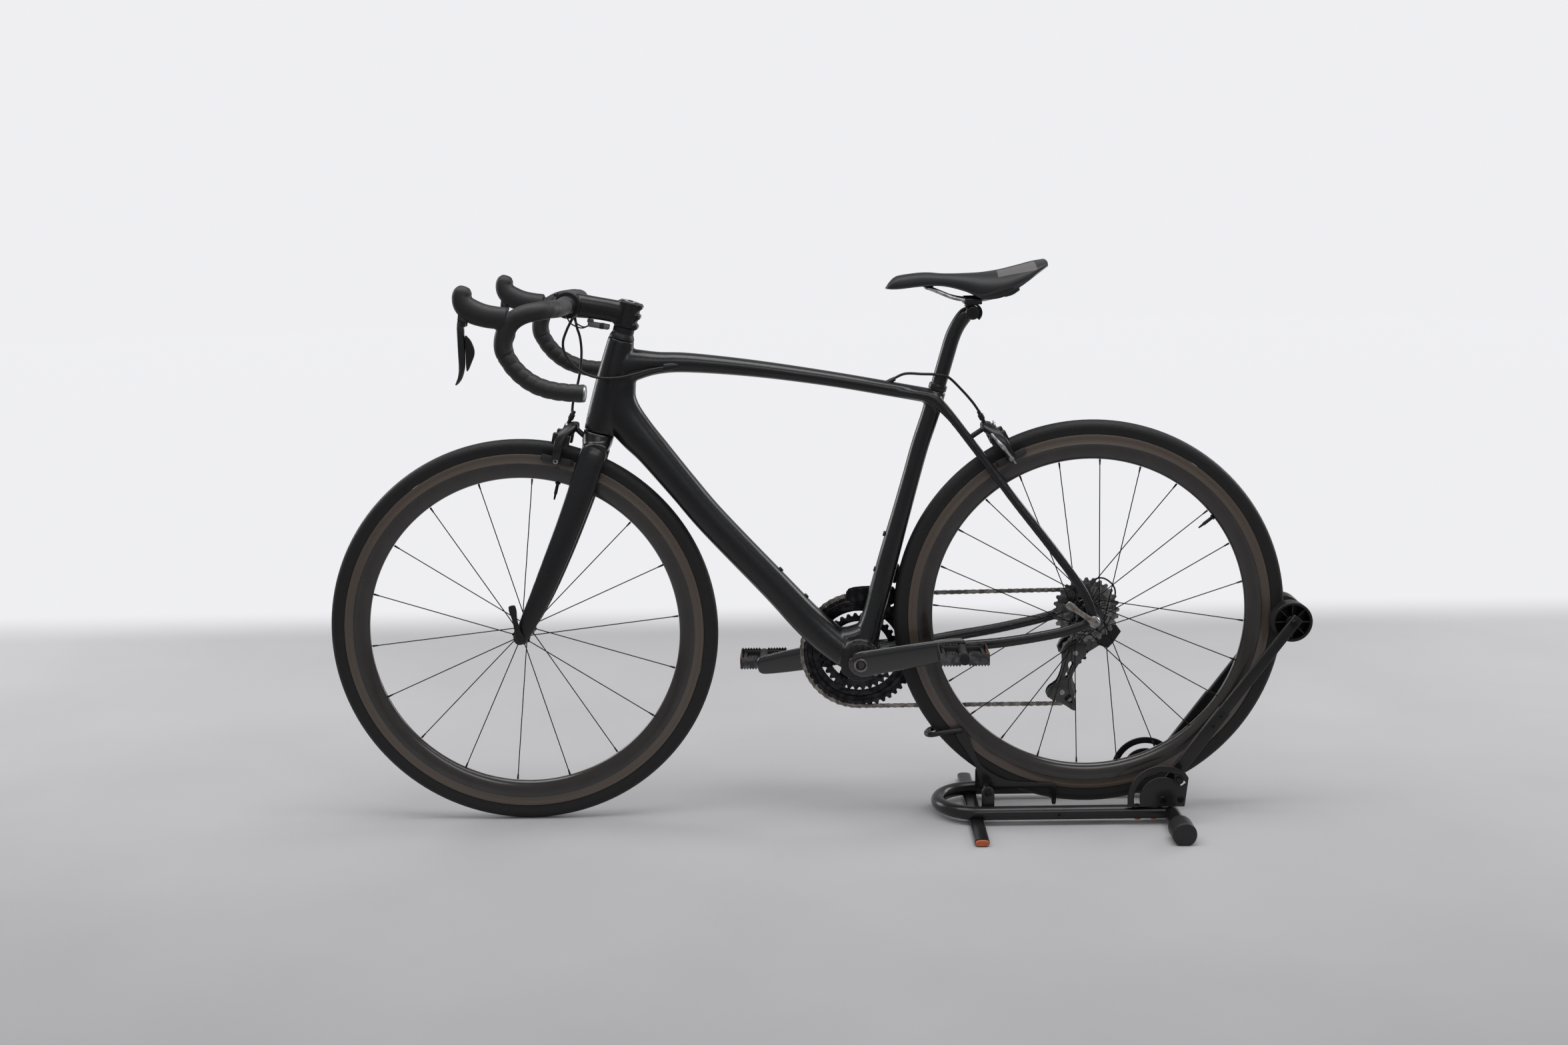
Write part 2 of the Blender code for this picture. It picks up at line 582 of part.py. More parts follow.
def quick_release(name, pivot, direction, length, material):
    """A skewer's lever on its cam: the lever swings about the cam's axis."""
    side = math.copysign(1, pivot.y)
    tip = along(pivot, direction, length)
    middle = along(pivot, direction, length * 0.5)
    stations = [(pivot.x, pivot.y, pivot.z, 0.0060, 0.0030),
                (middle.x, pivot.y + side * 0.0006, middle.z, 0.0045, 0.0026),
                (tip.x, pivot.y + side * 0.0004, tip.z, 0.0065, 0.0022)]
    return loft(name, stations, material, sides=12)


# ---- fork and steering ----
def fork_solid():
    """Crown, steerer and two blades in one piece."""
    blade = [(-0.370, 0.0270, 0.6560, 0.0215, 0.0100), (-0.377, 0.0310, 0.6400, 0.0225, 0.0110),
             (-0.394, 0.0370, 0.5900, 0.0227, 0.0105), (-0.418, 0.0430, 0.5280, 0.0214, 0.0098),
             (-0.441, 0.0480, 0.4730, 0.0203, 0.0088), (-0.470, 0.0530, 0.4070, 0.0180, 0.0072),
             (-0.493, 0.0550, 0.3600, 0.0150, 0.0050), (-0.506, 0.0555, 0.3340, 0.0110, 0.0045)]
    crown = [(-0.3710, -0.0330, 0.6560, 0.0105, 0.0225), (-0.3690, -0.0150, 0.6620, 0.0110, 0.0245),
             (-0.3690, 0.0150, 0.6620, 0.0110, 0.0245), (-0.3710, 0.0330, 0.6560, 0.0105, 0.0225)]
    collar = [(*along(STEER_TOP, STEER_UP, distance), length, width) for distance, length, width in
              ((-0.1722 - GAP, 0.0262, 0.0255), (-0.1840, 0.0262, 0.0300),
               (-0.1960, 0.0245, 0.0350))]
    pieces = [loft("fork", blade, CARBON, sides=10, power=2.3),
              loft("left blade", mirrored(blade), CARBON, sides=10, power=2.3),
              loft("crown", crown, CARBON, across=(1, 0, 0)),
              loft("collar", collar, CARBON, sides=20)]
    pieces.append(rod("steerer", along(STEER_LOW, STEER_UP, -0.0050),
                      along(STEER_TOP, STEER_UP, 0.0540), STEERER_R, CARBON))
    return joined(pieces)


def headset_spacers():
    """A cone and spacers on the steerer, between the head tube and the stem."""
    low = along(STEER_TOP, STEER_UP, -0.0090 + GAP)
    high = along(STEER_TOP, STEER_UP, 0.0120)
    stack = rod("headset_spacers", low, high, 0.0215, PLASTIC, end_radius=0.0180, segments=24)
    hole = rod("hole", along(low, STEER_UP, -0.02), along(high, STEER_UP, 0.02),
               STEERER_R + GAP, PLASTIC)
    return joined([stack], [hole])


STEM_FRONT = Vector((-0.4100, 0.0, 0.9000))


def stem_solid():
    """Steerer clamp, extension and bar clamp."""
    low = along(STEER_TOP, STEER_UP, 0.0120 + GAP)
    high = along(STEER_TOP, STEER_UP, 0.0560)
    rear = along(STEER_TOP, STEER_UP, 0.0340)
    body = loft("stem", [(-0.3980, 0, 0.8990, 0.0215, 0.0200), (-0.3700, 0, 0.8945, 0.0200, 0.0165),
                         (-0.3400, 0, 0.8890, 0.0195, 0.0160), (rear.x, 0, rear.z, 0.0205, 0.0185)],
                GLOSS, power=2.6)
    pieces = [body, rod("steerer clamp", low, high, 0.0200, GLOSS, segments=24),
              rod("bar clamp", (STEM_FRONT.x, -0.0230, STEM_FRONT.z),
                  (STEM_FRONT.x, 0.0230, STEM_FRONT.z), 0.0235, GLOSS, segments=24)]
    cuts = [rod("bar bore", (STEM_FRONT.x, -0.04, STEM_FRONT.z),
                (STEM_FRONT.x, 0.04, STEM_FRONT.z), BAR_R + GAP, GLOSS),
            rod("steerer bore", along(low, STEER_UP, -0.02), along(low, STEER_UP, 0.0425),
                STEERER_R + GAP, GLOSS)]
    return joined(pieces, cuts)


BAR_TOP = [(-0.4100, 0.0600, 0.9000), (-0.4100, 0.1050, 0.9005), (-0.4090, 0.1500, 0.9015),
           (-0.4140, 0.1830, 0.9025), (-0.4320, 0.2060, 0.9010), (-0.4560, HOOD_Y, 0.8960),
           (-0.4760, HOOD_Y, 0.8830), (-0.4870, HOOD_Y, 0.8620), (-0.4885, HOOD_Y, 0.8420),
           (-0.4810, HOOD_Y, 0.8240), (-0.4690, HOOD_Y, 0.8075), (-0.4530, HOOD_Y, 0.7930),
           (-0.4350, HOOD_Y, 0.7825), (-0.4130, HOOD_Y, 0.7755), (-0.3890, HOOD_Y, 0.7720),
           (-0.3640, HOOD_Y, 0.7700)]


def handlebar():
    """The bare middle of the bar, which the stem clamps."""
    return rod("handlebar", (STEM_FRONT.x, -0.0597, STEM_FRONT.z),
               (STEM_FRONT.x, 0.0597, STEM_FRONT.z), BAR_R, PLASTIC)


def bar_tape(name, side):
    """A taped bar half: top, forward bend and drop."""
    path = [Vector((x, side * y, z)) for x, y, z in BAR_TOP]
    return tube(name, path, TAPE_R, TAPE, 2)


def hood(name, side):
    """The rubber brake hood in front of the bar, with its raised tip."""
    stations = [(-0.4820, 0.8910, 0.0180, 0.0160), (-0.5000, 0.8925, 0.0187, 0.0170),
                (-0.5180, 0.8960, 0.0190, 0.0175), (-0.5350, 0.9025, 0.0195, 0.0172),
                (-0.5480, 0.9125, 0.0180, 0.0165), (-0.5515, 0.9250, 0.0160, 0.0150),
                (-0.5480, 0.9350, 0.0142, 0.0130), (-0.5455, 0.9415, 0.0085, 0.0085)]
    stations = [(x, side * HOOD_Y, z, high, wide) for x, z, high, wide in stations]
    body = loft(name, stations, RUBBER, sides=12, power=2.3)
    path = [Vector((x, side * y, z)) for x, y, z in smooth_path(BAR_TOP[3:10], 2)]
    return joined([body], [tube("bar", path, TAPE_R + 2 * GAP, RUBBER, 2)])


def brake_lever(name, side):
    """The curved lever blade under the hood."""
    outline = [(-0.5605, 0.8850), (-0.5585, 0.8885), (-0.5545, 0.8885), (-0.5515, 0.8850),
               (-0.5495, 0.8500), (-0.5500, 0.8200), (-0.5530, 0.8020), (-0.5610, 0.7900),
               (-0.5680, 0.7860), (-0.5670, 0.7895), (-0.5605, 0.8000), (-0.5600, 0.8160),
               (-0.5610, 0.8470), (-0.5615, 0.8720)]
    return plate(name, outline, side * HOOD_Y - 0.0060, side * HOOD_Y + 0.0060, GLOSS)


def shift_paddle(name, side):
    """The shift buttons' plate behind the lever blade."""
    outline = [(-0.5485, 0.8620), (-0.5440, 0.8640), (-0.5380, 0.8560), (-0.5345, 0.8380),
               (-0.5370, 0.8200), (-0.5450, 0.8100), (-0.5485, 0.8150)]
    return plate(name, outline, side * HOOD_Y - 0.0040, side * HOOD_Y + 0.0040, GLOSS)


def junction_box():
    """The wiring junction strapped under the stem."""
    return box("junction_box", (0.036, 0.022, 0.0085), (-0.3600, 0, 0.8640), PLASTIC,
               tilt=math.radians(10))


def brake_arm(name, pivot, elbow, knee, pad, pad_slope, side):
    """A caliper arm from its pivot, around the tyre, to its brake pad."""
    stations = [(pivot[0], side * 0.0085, pivot[1], 0.0075, 0.0095),
                (elbow[0], side * 0.0300, elbow[1], 0.0080, 0.0115),
                (knee[0], side * 0.0350, knee[1], 0.0085, 0.0105),
                (pad[0], side * 0.0270, pad[1], 0.0070, 0.0080)]
    arm = loft(name, stations, GLOSS, sides=12, power=3.0, across=(1, 0, 0))
    block = box("pad", (0.0550, 0.0100, 0.0110), (pad[0], side * 0.0198, pad[1]), RUBBER,
                pad_slope)
    return joined([arm, block])


FRONT_PAD_SLOPE = math.radians(12.9)
REAR_PAD_SLOPE = math.radians(-26.4)
FRONT_BRAKE = {"pivot": (-0.4080, 0.6930), "elbow": (-0.4260, 0.6800),
               "knee": (-0.4330, 0.6560), "pad": (-0.4370, 0.6380),
               "pad_slope": FRONT_PAD_SLOPE}
REAR_BRAKE = {"pivot": (0.2960, 0.6830), "elbow": (0.3120, 0.6700),
              "knee": (0.3260, 0.6480), "pad": (0.3340, 0.6310),
              "pad_slope": REAR_PAD_SLOPE}


def cable(name, points, radius=0.0025):
    return tube(name, smooth_path(points, 3), radius, PLASTIC, 1)


REAR_CABLE_FRONT = [(-0.4000, -0.0300, 0.8790), (-0.4100, -0.0330, 0.8600),
                    (-0.4170, -0.0350, 0.8400), (-0.4150, -0.0370, 0.8220),
                    (-0.4040, -0.0380, 0.8050), (-0.3840, -0.0380, 0.7880),
                    (-0.3600, -0.0370, 0.7790), (-0.3270, -0.0350, 0.7780),
                    (-0.2960, -0.0320, 0.7840), (-0.2740, -0.0285, 0.7895),
                    (-0.2560, -0.0240, 0.7925)]
REAR_CABLE_BACK = [(0.1330, 0.0, 0.7640), (0.1560, 0.0, 0.7740), (0.1840, -0.0200, 0.7750),
                   (0.2070, -0.0230, 0.7740), (0.2280, -0.0210, 0.7690),
                   (0.2500, -0.0130, 0.7480), (0.2700, -0.0060, 0.7250),
                   (0.2830, -0.0030, 0.7060)]
FRONT_CABLE = [(-0.4040, 0.0300, 0.8790), (-0.4010, 0.0300, 0.8600), (-0.3960, 0.0290, 0.8420),
               (-0.3940, 0.0260, 0.8180), (-0.3960, 0.0200, 0.7900), (-0.4010, 0.0140, 0.7640),
               (-0.4090, 0.0090, 0.7350), (-0.4120, 0.0060, 0.7080)]


# ---- drive train ----
def crank_direction(side):
    """Left crank points back and up, right crank forward and down."""
    return Vector((math.cos(CRANK_ANGLE), 0, math.sin(CRANK_ANGLE))) * -side


def crank_arm(name, side):
    direction = crank_direction(side)
    end = along(BB, direction, CRANK_LENGTH)
    stations = []
    for share, y, half_height, half_depth in ((-0.07, 0.0545, 0.0150, 0.0060),
                                              (0.0, 0.0550, 0.0225, 0.0070),
                                              (0.15, 0.0565, 0.0222, 0.0070),
                                              (0.55, 0.0611, 0.0212, 0.0066),
                                              (0.80, 0.0640, 0.0195, 0.0062),
                                              (1.0, 0.0665, 0.0165, 0.0062),
                                              (1.06, 0.0665, 0.0100, 0.0055)):
        spot = along(BB, direction, CRANK_LENGTH * share)
        stations.append((spot.x, side * y, spot.z, half_height, half_depth))
    pieces = [loft(name, stations, GLOSS, sides=12, power=2.6)]
    axle = sorted((side * 0.0660, side * 0.1560))
    pieces.append(rod("pedal axle", (end.x, axle[0], end.z), (end.x, axle[1], end.z), 0.0050,
                      GLOSS, segments=12))
    if side < 0:
        pieces.append(rod("spindle", (BB.x, -0.0560, BB.z), (BB.x, 0.0470, BB.z), 0.0150, GLOSS))
        return joined(pieces)
    for k in range(4):
        angle = math.radians(100 + 90 * k) if k % 2 else math.radians(60 + 90 * k)
        tip = Vector((BB.x + 0.060 * math.cos(angle), 0, BB.z + 0.060 * math.sin(angle)))
        pieces.append(loft("spider", [(BB.x, 0.0525, BB.z, 0.0120, 0.0030),
                                      (tip.x, 0.0510, tip.z, 0.0085, 0.0026)], GLOSS, sides=12))
    return joined(pieces)


def chain_rings():
    """Both rings and the four bolts that hold them together."""
    outer = ring_plate("chain_rings", BB, 0.0540, pitch_radius(RING_TEETH) - 0.0052,
                       CHAIN_Y - 0.0018, CHAIN_Y + 0.0018, CHAIN, 32)
    inner = ring_plate("inner ring", BB, 0.0540, 0.0655, 0.0358, 0.0388, CHAIN, 20)
    pieces = [outer, inner]
    for k in range(4):
        angle = math.radians(100 + 90 * k) if k % 2 else math.radians(60 + 90 * k)
        spot = Vector((BB.x + 0.058 * math.cos(angle), 0, BB.z + 0.058 * math.sin(angle)))
        pieces.append(rod("ring bolt", (spot.x, 0.0370, spot.z), (spot.x, 0.0478, spot.z), 0.0035,
                          CHAIN, segments=10))
    return joined(pieces)


def cassette():
    """Eleven cogs as one stepped block, largest beside the spokes."""
    teeth = [28, 25, 23, 21, 19, 17, 16, 15, 14, 13, 12]
    spacing = 0.0037
    half_cog = 0.0009
    profile = [(0.0180, 0.0215)]
    for k, count in enumerate(teeth):
        middle = CHAIN_Y + (k - teeth.index(COG_TEETH)) * spacing
        sunk = 0.0046 if count == COG_TEETH else 0.0
        radius = pitch_radius(count) - sunk
        far = middle + (spacing - half_cog if count == COG_TEETH else half_cog)
        profile += [(radius, profile[-1][1]), (radius, far)]
    profile.append((0.0180, profile[-1][1]))
    return turned("cassette", REAR_AXLE, profile, CHAIN, steps=18)


def tangent_angle(start, start_r, end, end_r, turn):
    """Angle of the outer or crossing tangent's contact point on the first circle."""
    reach = end - start
    base = math.atan2(reach.z, reach.x)
    return base + turn * math.acos((start_r - end_r) / reach.length)


def chain_loop(offset):
    """The chain's closed path, moved outwards by offset from its pitch line."""
    ring_r, cog_r, pulley_r = (pitch_radius(n) for n in (RING_TEETH, COG_TEETH, PULLEY_TEETH))
    wheels = [(BB, ring_r + offset, 1), (TENSION, pulley_r + offset, 1),
              (GUIDE, -(pulley_r - offset), -1), (REAR_AXLE, cog_r + offset, 1)]
    points = []
    count = len(wheels)
    for k, (centre, radius, turn) in enumerate(wheels):
        before, before_r, _ = wheels[k - 1]
        after, after_r, _ = wheels[(k + 1) % count]
        arrive = tangent_angle(before, before_r, centre, radius, -1)
        leave = tangent_angle(centre, radius, after, after_r, -1)
        sweep = (leave - arrive) % (2 * math.pi) * turn if turn > 0 else \
            -((arrive - leave) % (2 * math.pi))
        steps = max(4, int(abs(sweep) / math.radians(14)))
        for step in range(steps + 1):
            angle = arrive + sweep * step / steps
            points.append((centre.x + radius * math.cos(angle),
                           centre.z + radius * math.sin(angle)))
    return points


def chain():
    """The closed chain as a band around the ring, the cog and the jockey wheels."""
    return plate("chain", chain_loop(0.0042), CHAIN_Y - 0.0025, CHAIN_Y + 0.0025, CHAIN,
                 holes=[chain_loop(-0.0042)])


def pedal(name, side):
    """A flat cage pedal around its axle."""
    end = along(BB, crank_direction(side), CRANK_LENGTH)
    centre = Vector((end.x, side * 0.1180, end.z))
    body = box(name, (0.0860, 0.0720, 0.0240), centre, PLASTIC)
    cuts = [rod("axle bore", (end.x, centre.y - 0.06, end.z), (end.x, centre.y + 0.06, end.z),
                0.0053, PLASTIC, segments=16)]
    for share in (-1, 1):
        cuts.append(box("window", (0.0180, 0.0480, 0.0400),
                        (centre.x + share * 0.0240, centre.y, centre.z), PLASTIC))
    return joined([body], cuts)


def derailleur_body():
    """Hanger, motor box and link of the rear derailleur, outside the cassette."""
    motor = [(0.4980, 0.2820), (0.5160, 0.2760), (0.5390, 0.3060), (0.5290, 0.3200),
             (0.5060, 0.3330), (0.4860, 0.3240)]
    body = plate("derailleur_body", motor, 0.0640, 0.0860, PLASTIC)
    link = plate("link", [(0.4260, 0.2800), (0.4380, 0.2970), (0.4640, 0.3040), (0.5080, 0.3180),
                          (0.5100, 0.2860), (0.4780, 0.2660), (0.4420, 0.2640)],
                 0.0665, 0.0800, GLOSS)
    knuckle = rod("knuckle", (GUIDE.x, 0.0560, GUIDE.z), (GUIDE.x, 0.0700, GUIDE.z), 0.0130, GLOSS)
    hanger = plate("hanger", [(0.4640, 0.3400), (0.4780, 0.3400), (0.5020, 0.3220),
                              (0.4940, 0.3100), (0.4780, 0.3180)], 0.0650, 0.0690, PLASTIC)
    return joined([body, link, knuckle, hanger])


def derailleur_cage():
    """Two cage plates held apart by the jockey wheels' bolts."""
    outline = [(0.4340, 0.2800), (0.4320, 0.2500), (0.4230, 0.2240), (0.4080, 0.2120),
               (0.4060, 0.1960), (0.4330, 0.1830), (0.4540, 0.1700), (0.4560, 0.1860),
               (0.4480, 0.2260), (0.4640, 0.2600), (0.4740, 0.2720), (0.4700, 0.2920),
               (0.4520, 0.2960)]
    pieces = [plate("derailleur_cage", outline, 0.0522, 0.0542, GLOSS),
              plate("inner plate", outline, 0.0368, 0.0388, GLOSS)]
    for pulley in (GUIDE, TENSION):
        pieces.append(rod("pulley bolt", (pulley.x, 0.0375, pulley.z),
                          (pulley.x, 0.0535, pulley.z), 0.0030, GLOSS, segments=10))
    pieces.append(rod("cage stop", (GUIDE.x, 0.0530, GUIDE.z), (GUIDE.x, 0.0557, GUIDE.z),
                      0.0090, GLOSS, segments=16))
    return joined(pieces)


def jockey(name, centre):
    return ring_plate(name, centre, 0.0034, pitch_radius(PULLEY_TEETH) - 0.0046, 0.0438, 0.0472,
                      PLASTIC, 16)


def front_derailleur():
    """The motor on the seat tube, outside the frame."""
    return box("front_derailleur", (0.030, 0.022, 0.034), (0.1300, 0.0390, 0.4240), GLOSS,
               tilt=math.radians(12))


def front_cage():
    """Two cheeks beside the chain above the large ring, joined over the chain."""
    outline = [(0.0560, 0.3740), (0.0580, 0.3930), (0.0950, 0.3975), (0.1360, 0.3955),
               (0.1420, 0.3740), (0.1240, 0.3640), (0.0900, 0.3700)]
    bridge = [(0.0900, 0.3920), (0.0900, 0.3960), (0.1300, 0.3950), (0.1300, 0.3912)]
    return joined([plate("front_cage", outline, 0.0515, 0.0530, CHROME),
                   plate("inner cheek", outline, 0.0370, 0.0385, CHROME),
                   plate("bridge", bridge, 0.0375, 0.0525, CHROME)])


# ---- assembly ----
FRONT_FLANGES = [(-0.0360, 0.0150), (0.0360, 0.0150)]
REAR_FLANGES = [(-0.0380, 0.0220), (0.0170, 0.0220)]


def build():
    stand_base()
    for side, letter in ((-1, "left"), (1, "right")):
        stand_rear_foot("stand_foot_" + letter, side)
        stand_bracket("stand_bracket_" + letter, side)
        stand_roller("stand_roller_" + letter, side)
        bar_tape("bar_tape_" + letter, side)
        hood("hood_" + letter, side)
        brake_lever("brake_lever_" + letter, side)
        shift_paddle("shift_paddle_" + letter, side)
        crank_arm("crank_arm_" + letter, side)
        pedal("pedal_" + letter, side)
        brake_arm("front_brake_arm_" + letter, side=side, **FRONT_BRAKE)
        brake_arm("rear_brake_arm_" + letter, side=side, **REAR_BRAKE)
    stand_arm()
    stand_cradle()
    frame_solid()
    seat_collar()
    seat_post()
    saddle_pad()
    saddle_base()
    saddle_rails()
    saddle_clamp()
    tyre("front_tyre", FRONT_AXLE)
    rim("front_rim", FRONT_AXLE)
    hub("front_hub", FRONT_AXLE, FRONT_HUB_HALF, FRONT_FLANGES)
    spokes("front_spokes", FRONT_AXLE, FRONT_FLANGES, 18, 0.0, 0.25)
    tyre("rear_tyre", REAR_AXLE)
    rim("rear_rim", REAR_AXLE)
    hub("rear_hub", REAR_AXLE, REAR_HUB_HALF, REAR_FLANGES)
    spokes("rear_spokes", REAR_AXLE, REAR_FLANGES, 24, math.radians(75), 0.75)
    quick_release("front_quick_release", Vector((FRONT_AXLE.x, -0.0660, FRONT_AXLE.z + 0.002)),
                  Vector((-0.18, 0, 0.98)).normalized(), 0.058, PLASTIC)
    quick_release("rear_quick_release", Vector((REAR_AXLE.x, -0.0800, REAR_AXLE.z)),
                  Vector((-0.8130, 0, 0.5820)).normalized(), 0.058, CHROME)
    fork_solid()
    headset_spacers()
    stem_solid()
    handlebar()
    junction_box()
    chain_rings()
    cassette()
    chain()
    derailleur_body()
    derailleur_cage()
    jockey("jockey_guide", GUIDE)
    jockey("jockey_tension", TENSION)
    front_derailleur()
    front_cage()
    cable("rear_cable_front", REAR_CABLE_FRONT)
    cable("rear_cable_back", REAR_CABLE_BACK)
    cable("front_cable", FRONT_CABLE)


build()
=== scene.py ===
"""The looks of a road bicycle held by a floor stand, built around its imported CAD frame.

Metres, +Z up. The floor is z = 0 and the bicycle's mid-plane is y = 0.
The bicycle points along -X, its drive side is +Y.
"""
import json
import math

import bmesh
import bpy
from mathutils import Matrix, Vector


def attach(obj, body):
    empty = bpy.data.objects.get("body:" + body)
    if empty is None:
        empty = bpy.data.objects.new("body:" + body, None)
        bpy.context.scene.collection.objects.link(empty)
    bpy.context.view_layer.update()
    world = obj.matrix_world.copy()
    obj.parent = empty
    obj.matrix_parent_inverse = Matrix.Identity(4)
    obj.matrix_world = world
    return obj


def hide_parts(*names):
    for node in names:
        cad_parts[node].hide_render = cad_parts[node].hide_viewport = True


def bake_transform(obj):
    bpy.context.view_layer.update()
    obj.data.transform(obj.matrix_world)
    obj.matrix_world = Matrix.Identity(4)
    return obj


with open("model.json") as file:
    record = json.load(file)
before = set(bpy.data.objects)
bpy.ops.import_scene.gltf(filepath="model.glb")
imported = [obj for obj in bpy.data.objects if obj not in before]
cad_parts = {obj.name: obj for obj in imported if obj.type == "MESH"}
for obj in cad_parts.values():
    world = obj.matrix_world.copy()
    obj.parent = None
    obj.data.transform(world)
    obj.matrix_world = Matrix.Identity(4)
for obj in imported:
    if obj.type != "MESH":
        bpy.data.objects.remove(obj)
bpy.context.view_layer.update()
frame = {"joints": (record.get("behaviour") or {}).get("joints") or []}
JOINTS = {joint["name"]: joint for joint in frame["joints"]}


def joint_point(name):
    return Vector(JOINTS[name]["pos_m"])


# ---- places and sizes ----
FRONT_AXLE = joint_point("front_wheel_spin")
REAR_AXLE = joint_point("rear_wheel_spin")
BB = joint_point("crank_spin")                  # bottom bracket's centre
GUIDE = joint_point("jockey_guide_spin")
TENSION = joint_point("jockey_tension_spin")
ARM_PIVOT = joint_point("stand_arm_release")
ROLLER_AXLE = joint_point("roller_spin")
CRADLE_PIVOT = joint_point("cradle_tilt")
STEER_TOP = joint_point("steering")
STEER_UP = Vector(JOINTS["steering"]["axis"]).normalized()
SEAT_TOP = Vector((0.211, 0.0, 0.748))
SEAT_UP = Vector(JOINTS["seat_height"]["axis"]).normalized()
STEM_FRONT = Vector((-0.41, 0.0, 0.9))
HOOD_Y = abs(joint_point("left_brake_lever").y)
TYRE_TOP_R = 0.3365
TYRE_R = 0.0125
RIM_OUTER_R = 0.312
RIM_INNER_R = 0.269
TRACK_INNER_R = 0.2965           # inner edge of the rim's brake track
FRONT_HUB_HALF = 0.05
REAR_HUB_HALF = 0.065
CHAIN_Y = 0.0455
PITCH = 0.0127
RING_TEETH, INNER_TEETH, COG_TEETH, PULLEY_TEETH = 50, 34, 16, 11
CASSETTE_TEETH = (28, 25, 23, 21, 19, 17, 16, 15, 14, 13, 12)
COG_SPACING = 0.0037
CRANK_LENGTH = 0.1725
CRANK_ANGLE = math.radians(10)
TAPE_R = 0.0145
BAR_R = 0.0158
POST_R = 0.013
POST_HEAD = Vector((0.27, 0, 0.876))
SPOKE_R = 0.0009
HOUSING_R = 0.0023               # brake cable housing
LEAD_R = 0.0012                  # electric leads
SPIDER_DEGREES = (10, 60, 190, 240)
STAND_TUBE_R = 0.012
STAND_TUBE_Y = 0.072
STAND_TUBE_Z = 0.02
FRONT_FOOT_X = 0.271
REAR_FOOT_X = 0.606
BACKDROP_Y = 1.5                 # where the floor meets the white backdrop
FLOOR_R = 14.0
ROLLER_R = 0.0345
SIDES = ((-1, "left"), (1, "right"))
FULL_TURN = 2 * math.pi


def pitch_radius(teeth):
    return PITCH * teeth / FULL_TURN


# ---- camera, floor and light ----
CAMERA_PLACE = Vector((-0.0087, -3.184, 1.0679))
CAMERA_ANGLES = (9.7387, -0.793, -0.9737)        # down, to the side and about its axis, in degrees
SENSOR_WIDTH, LENS = 36.0, 43.17                 # millimetres


def add_camera():
    """The viewing angle: just left of the middle, above the bars, looking slightly down."""
    pitch, yaw, roll = (math.radians(angle) for angle in CAMERA_ANGLES)
    forward = Vector((math.sin(yaw) * math.cos(pitch), math.cos(yaw) * math.cos(pitch),
                      -math.sin(pitch)))
    right = Vector((math.cos(yaw), -math.sin(yaw), 0))
    up = right.cross(forward)
    tilted_right = right * math.cos(roll) + up * math.sin(roll)
    tilted_up = up * math.cos(roll) - right * math.sin(roll)
    data = bpy.data.cameras.new("camera")
    data.sensor_width = SENSOR_WIDTH
    data.lens = LENS
    camera = add_object("camera", data)
    turn = Matrix((tilted_right, tilted_up, -forward)).transposed()
    camera.matrix_world = Matrix.Translation(CAMERA_PLACE) @ turn.to_4x4()
    bpy.context.scene.camera = camera


def add_area_light(name, place_at, target, size, power):
    data = bpy.data.lights.new(name, "AREA")
    data.shape = "RECTANGLE"
    data.size, data.size_y = size
    data.energy = power
    light = add_object(name, data)
    turn = (Vector(target) - Vector(place_at)).to_track_quat("-Z", "Y")
    light.matrix_world = Matrix.Translation(place_at) @ turn.to_matrix().to_4x4()


def add_lights():
    """A wide overhead panel, two panels behind the bicycle and a soft front fill."""
    add_area_light("overhead", (0, -0.3, 2.6), (0, 0, 0), (3.6, 1.4), 62)
    add_area_light("left panel", (-2.6, 1.6, 1.5), (0, 0, 0.5), (1.2, 1.6), 26)
    add_area_light("right panel", (2.6, 1.6, 1.5), (0, 0, 0.5), (1.2, 1.6), 26)
    add_area_light("front fill", (0.6, -3.8, 2.8), (0, 0, 0.4), (2.6, 1.0), 20)
    add_world()
    bpy.context.scene.view_settings.view_transform = "Standard"


def add_world():
    """A white room: bright where it is seen, softer where it lights the bicycle."""
    world = bpy.data.worlds.new("studio")
    world.use_nodes = True
    tree = world.node_tree
    seen = tree.nodes["Background"]
    seen.inputs["Color"].default_value = (0.92, 0.92, 0.95, 1)
    seen.inputs["Strength"].default_value = 0.94
    lighting = tree.nodes.new("ShaderNodeBackground")
    lighting.inputs["Color"].default_value = (0.92, 0.93, 0.96, 1)
    lighting.inputs["Strength"].default_value = 0.36
    path = tree.nodes.new("ShaderNodeLightPath")
    mix = tree.nodes.new("ShaderNodeMixShader")
    tree.links.new(path.outputs["Is Camera Ray"], mix.inputs[0])
    tree.links.new(lighting.outputs[0], mix.inputs[1])
    tree.links.new(seen.outputs[0], mix.inputs[2])
    tree.links.new(mix.outputs[0], tree.nodes["World Output"].inputs["Surface"])
    bpy.context.scene.world = world


# ---- material tools ----
NOISE_RANGE = (0.3, 0.7)         # where nearly all noise values lie
METAL_GRAIN = 500.0


def material(name, colour, roughness, metallic=0.0, coat=0.0, coat_roughness=0.08, sheen=0.0,
             specular=0.5):
    made = bpy.data.materials.new(name)
    made.use_nodes = True
    shader = made.node_tree.nodes["Principled BSDF"]
    values = {"Base Color": (*colour, 1.0), "Roughness": roughness, "Metallic": metallic,
              "Coat Weight": coat, "Coat Roughness": coat_roughness, "Sheen Weight": sheen,
              "Specular IOR Level": specular}
    for socket, value in values.items():
        shader.inputs[socket].default_value = value
    return made


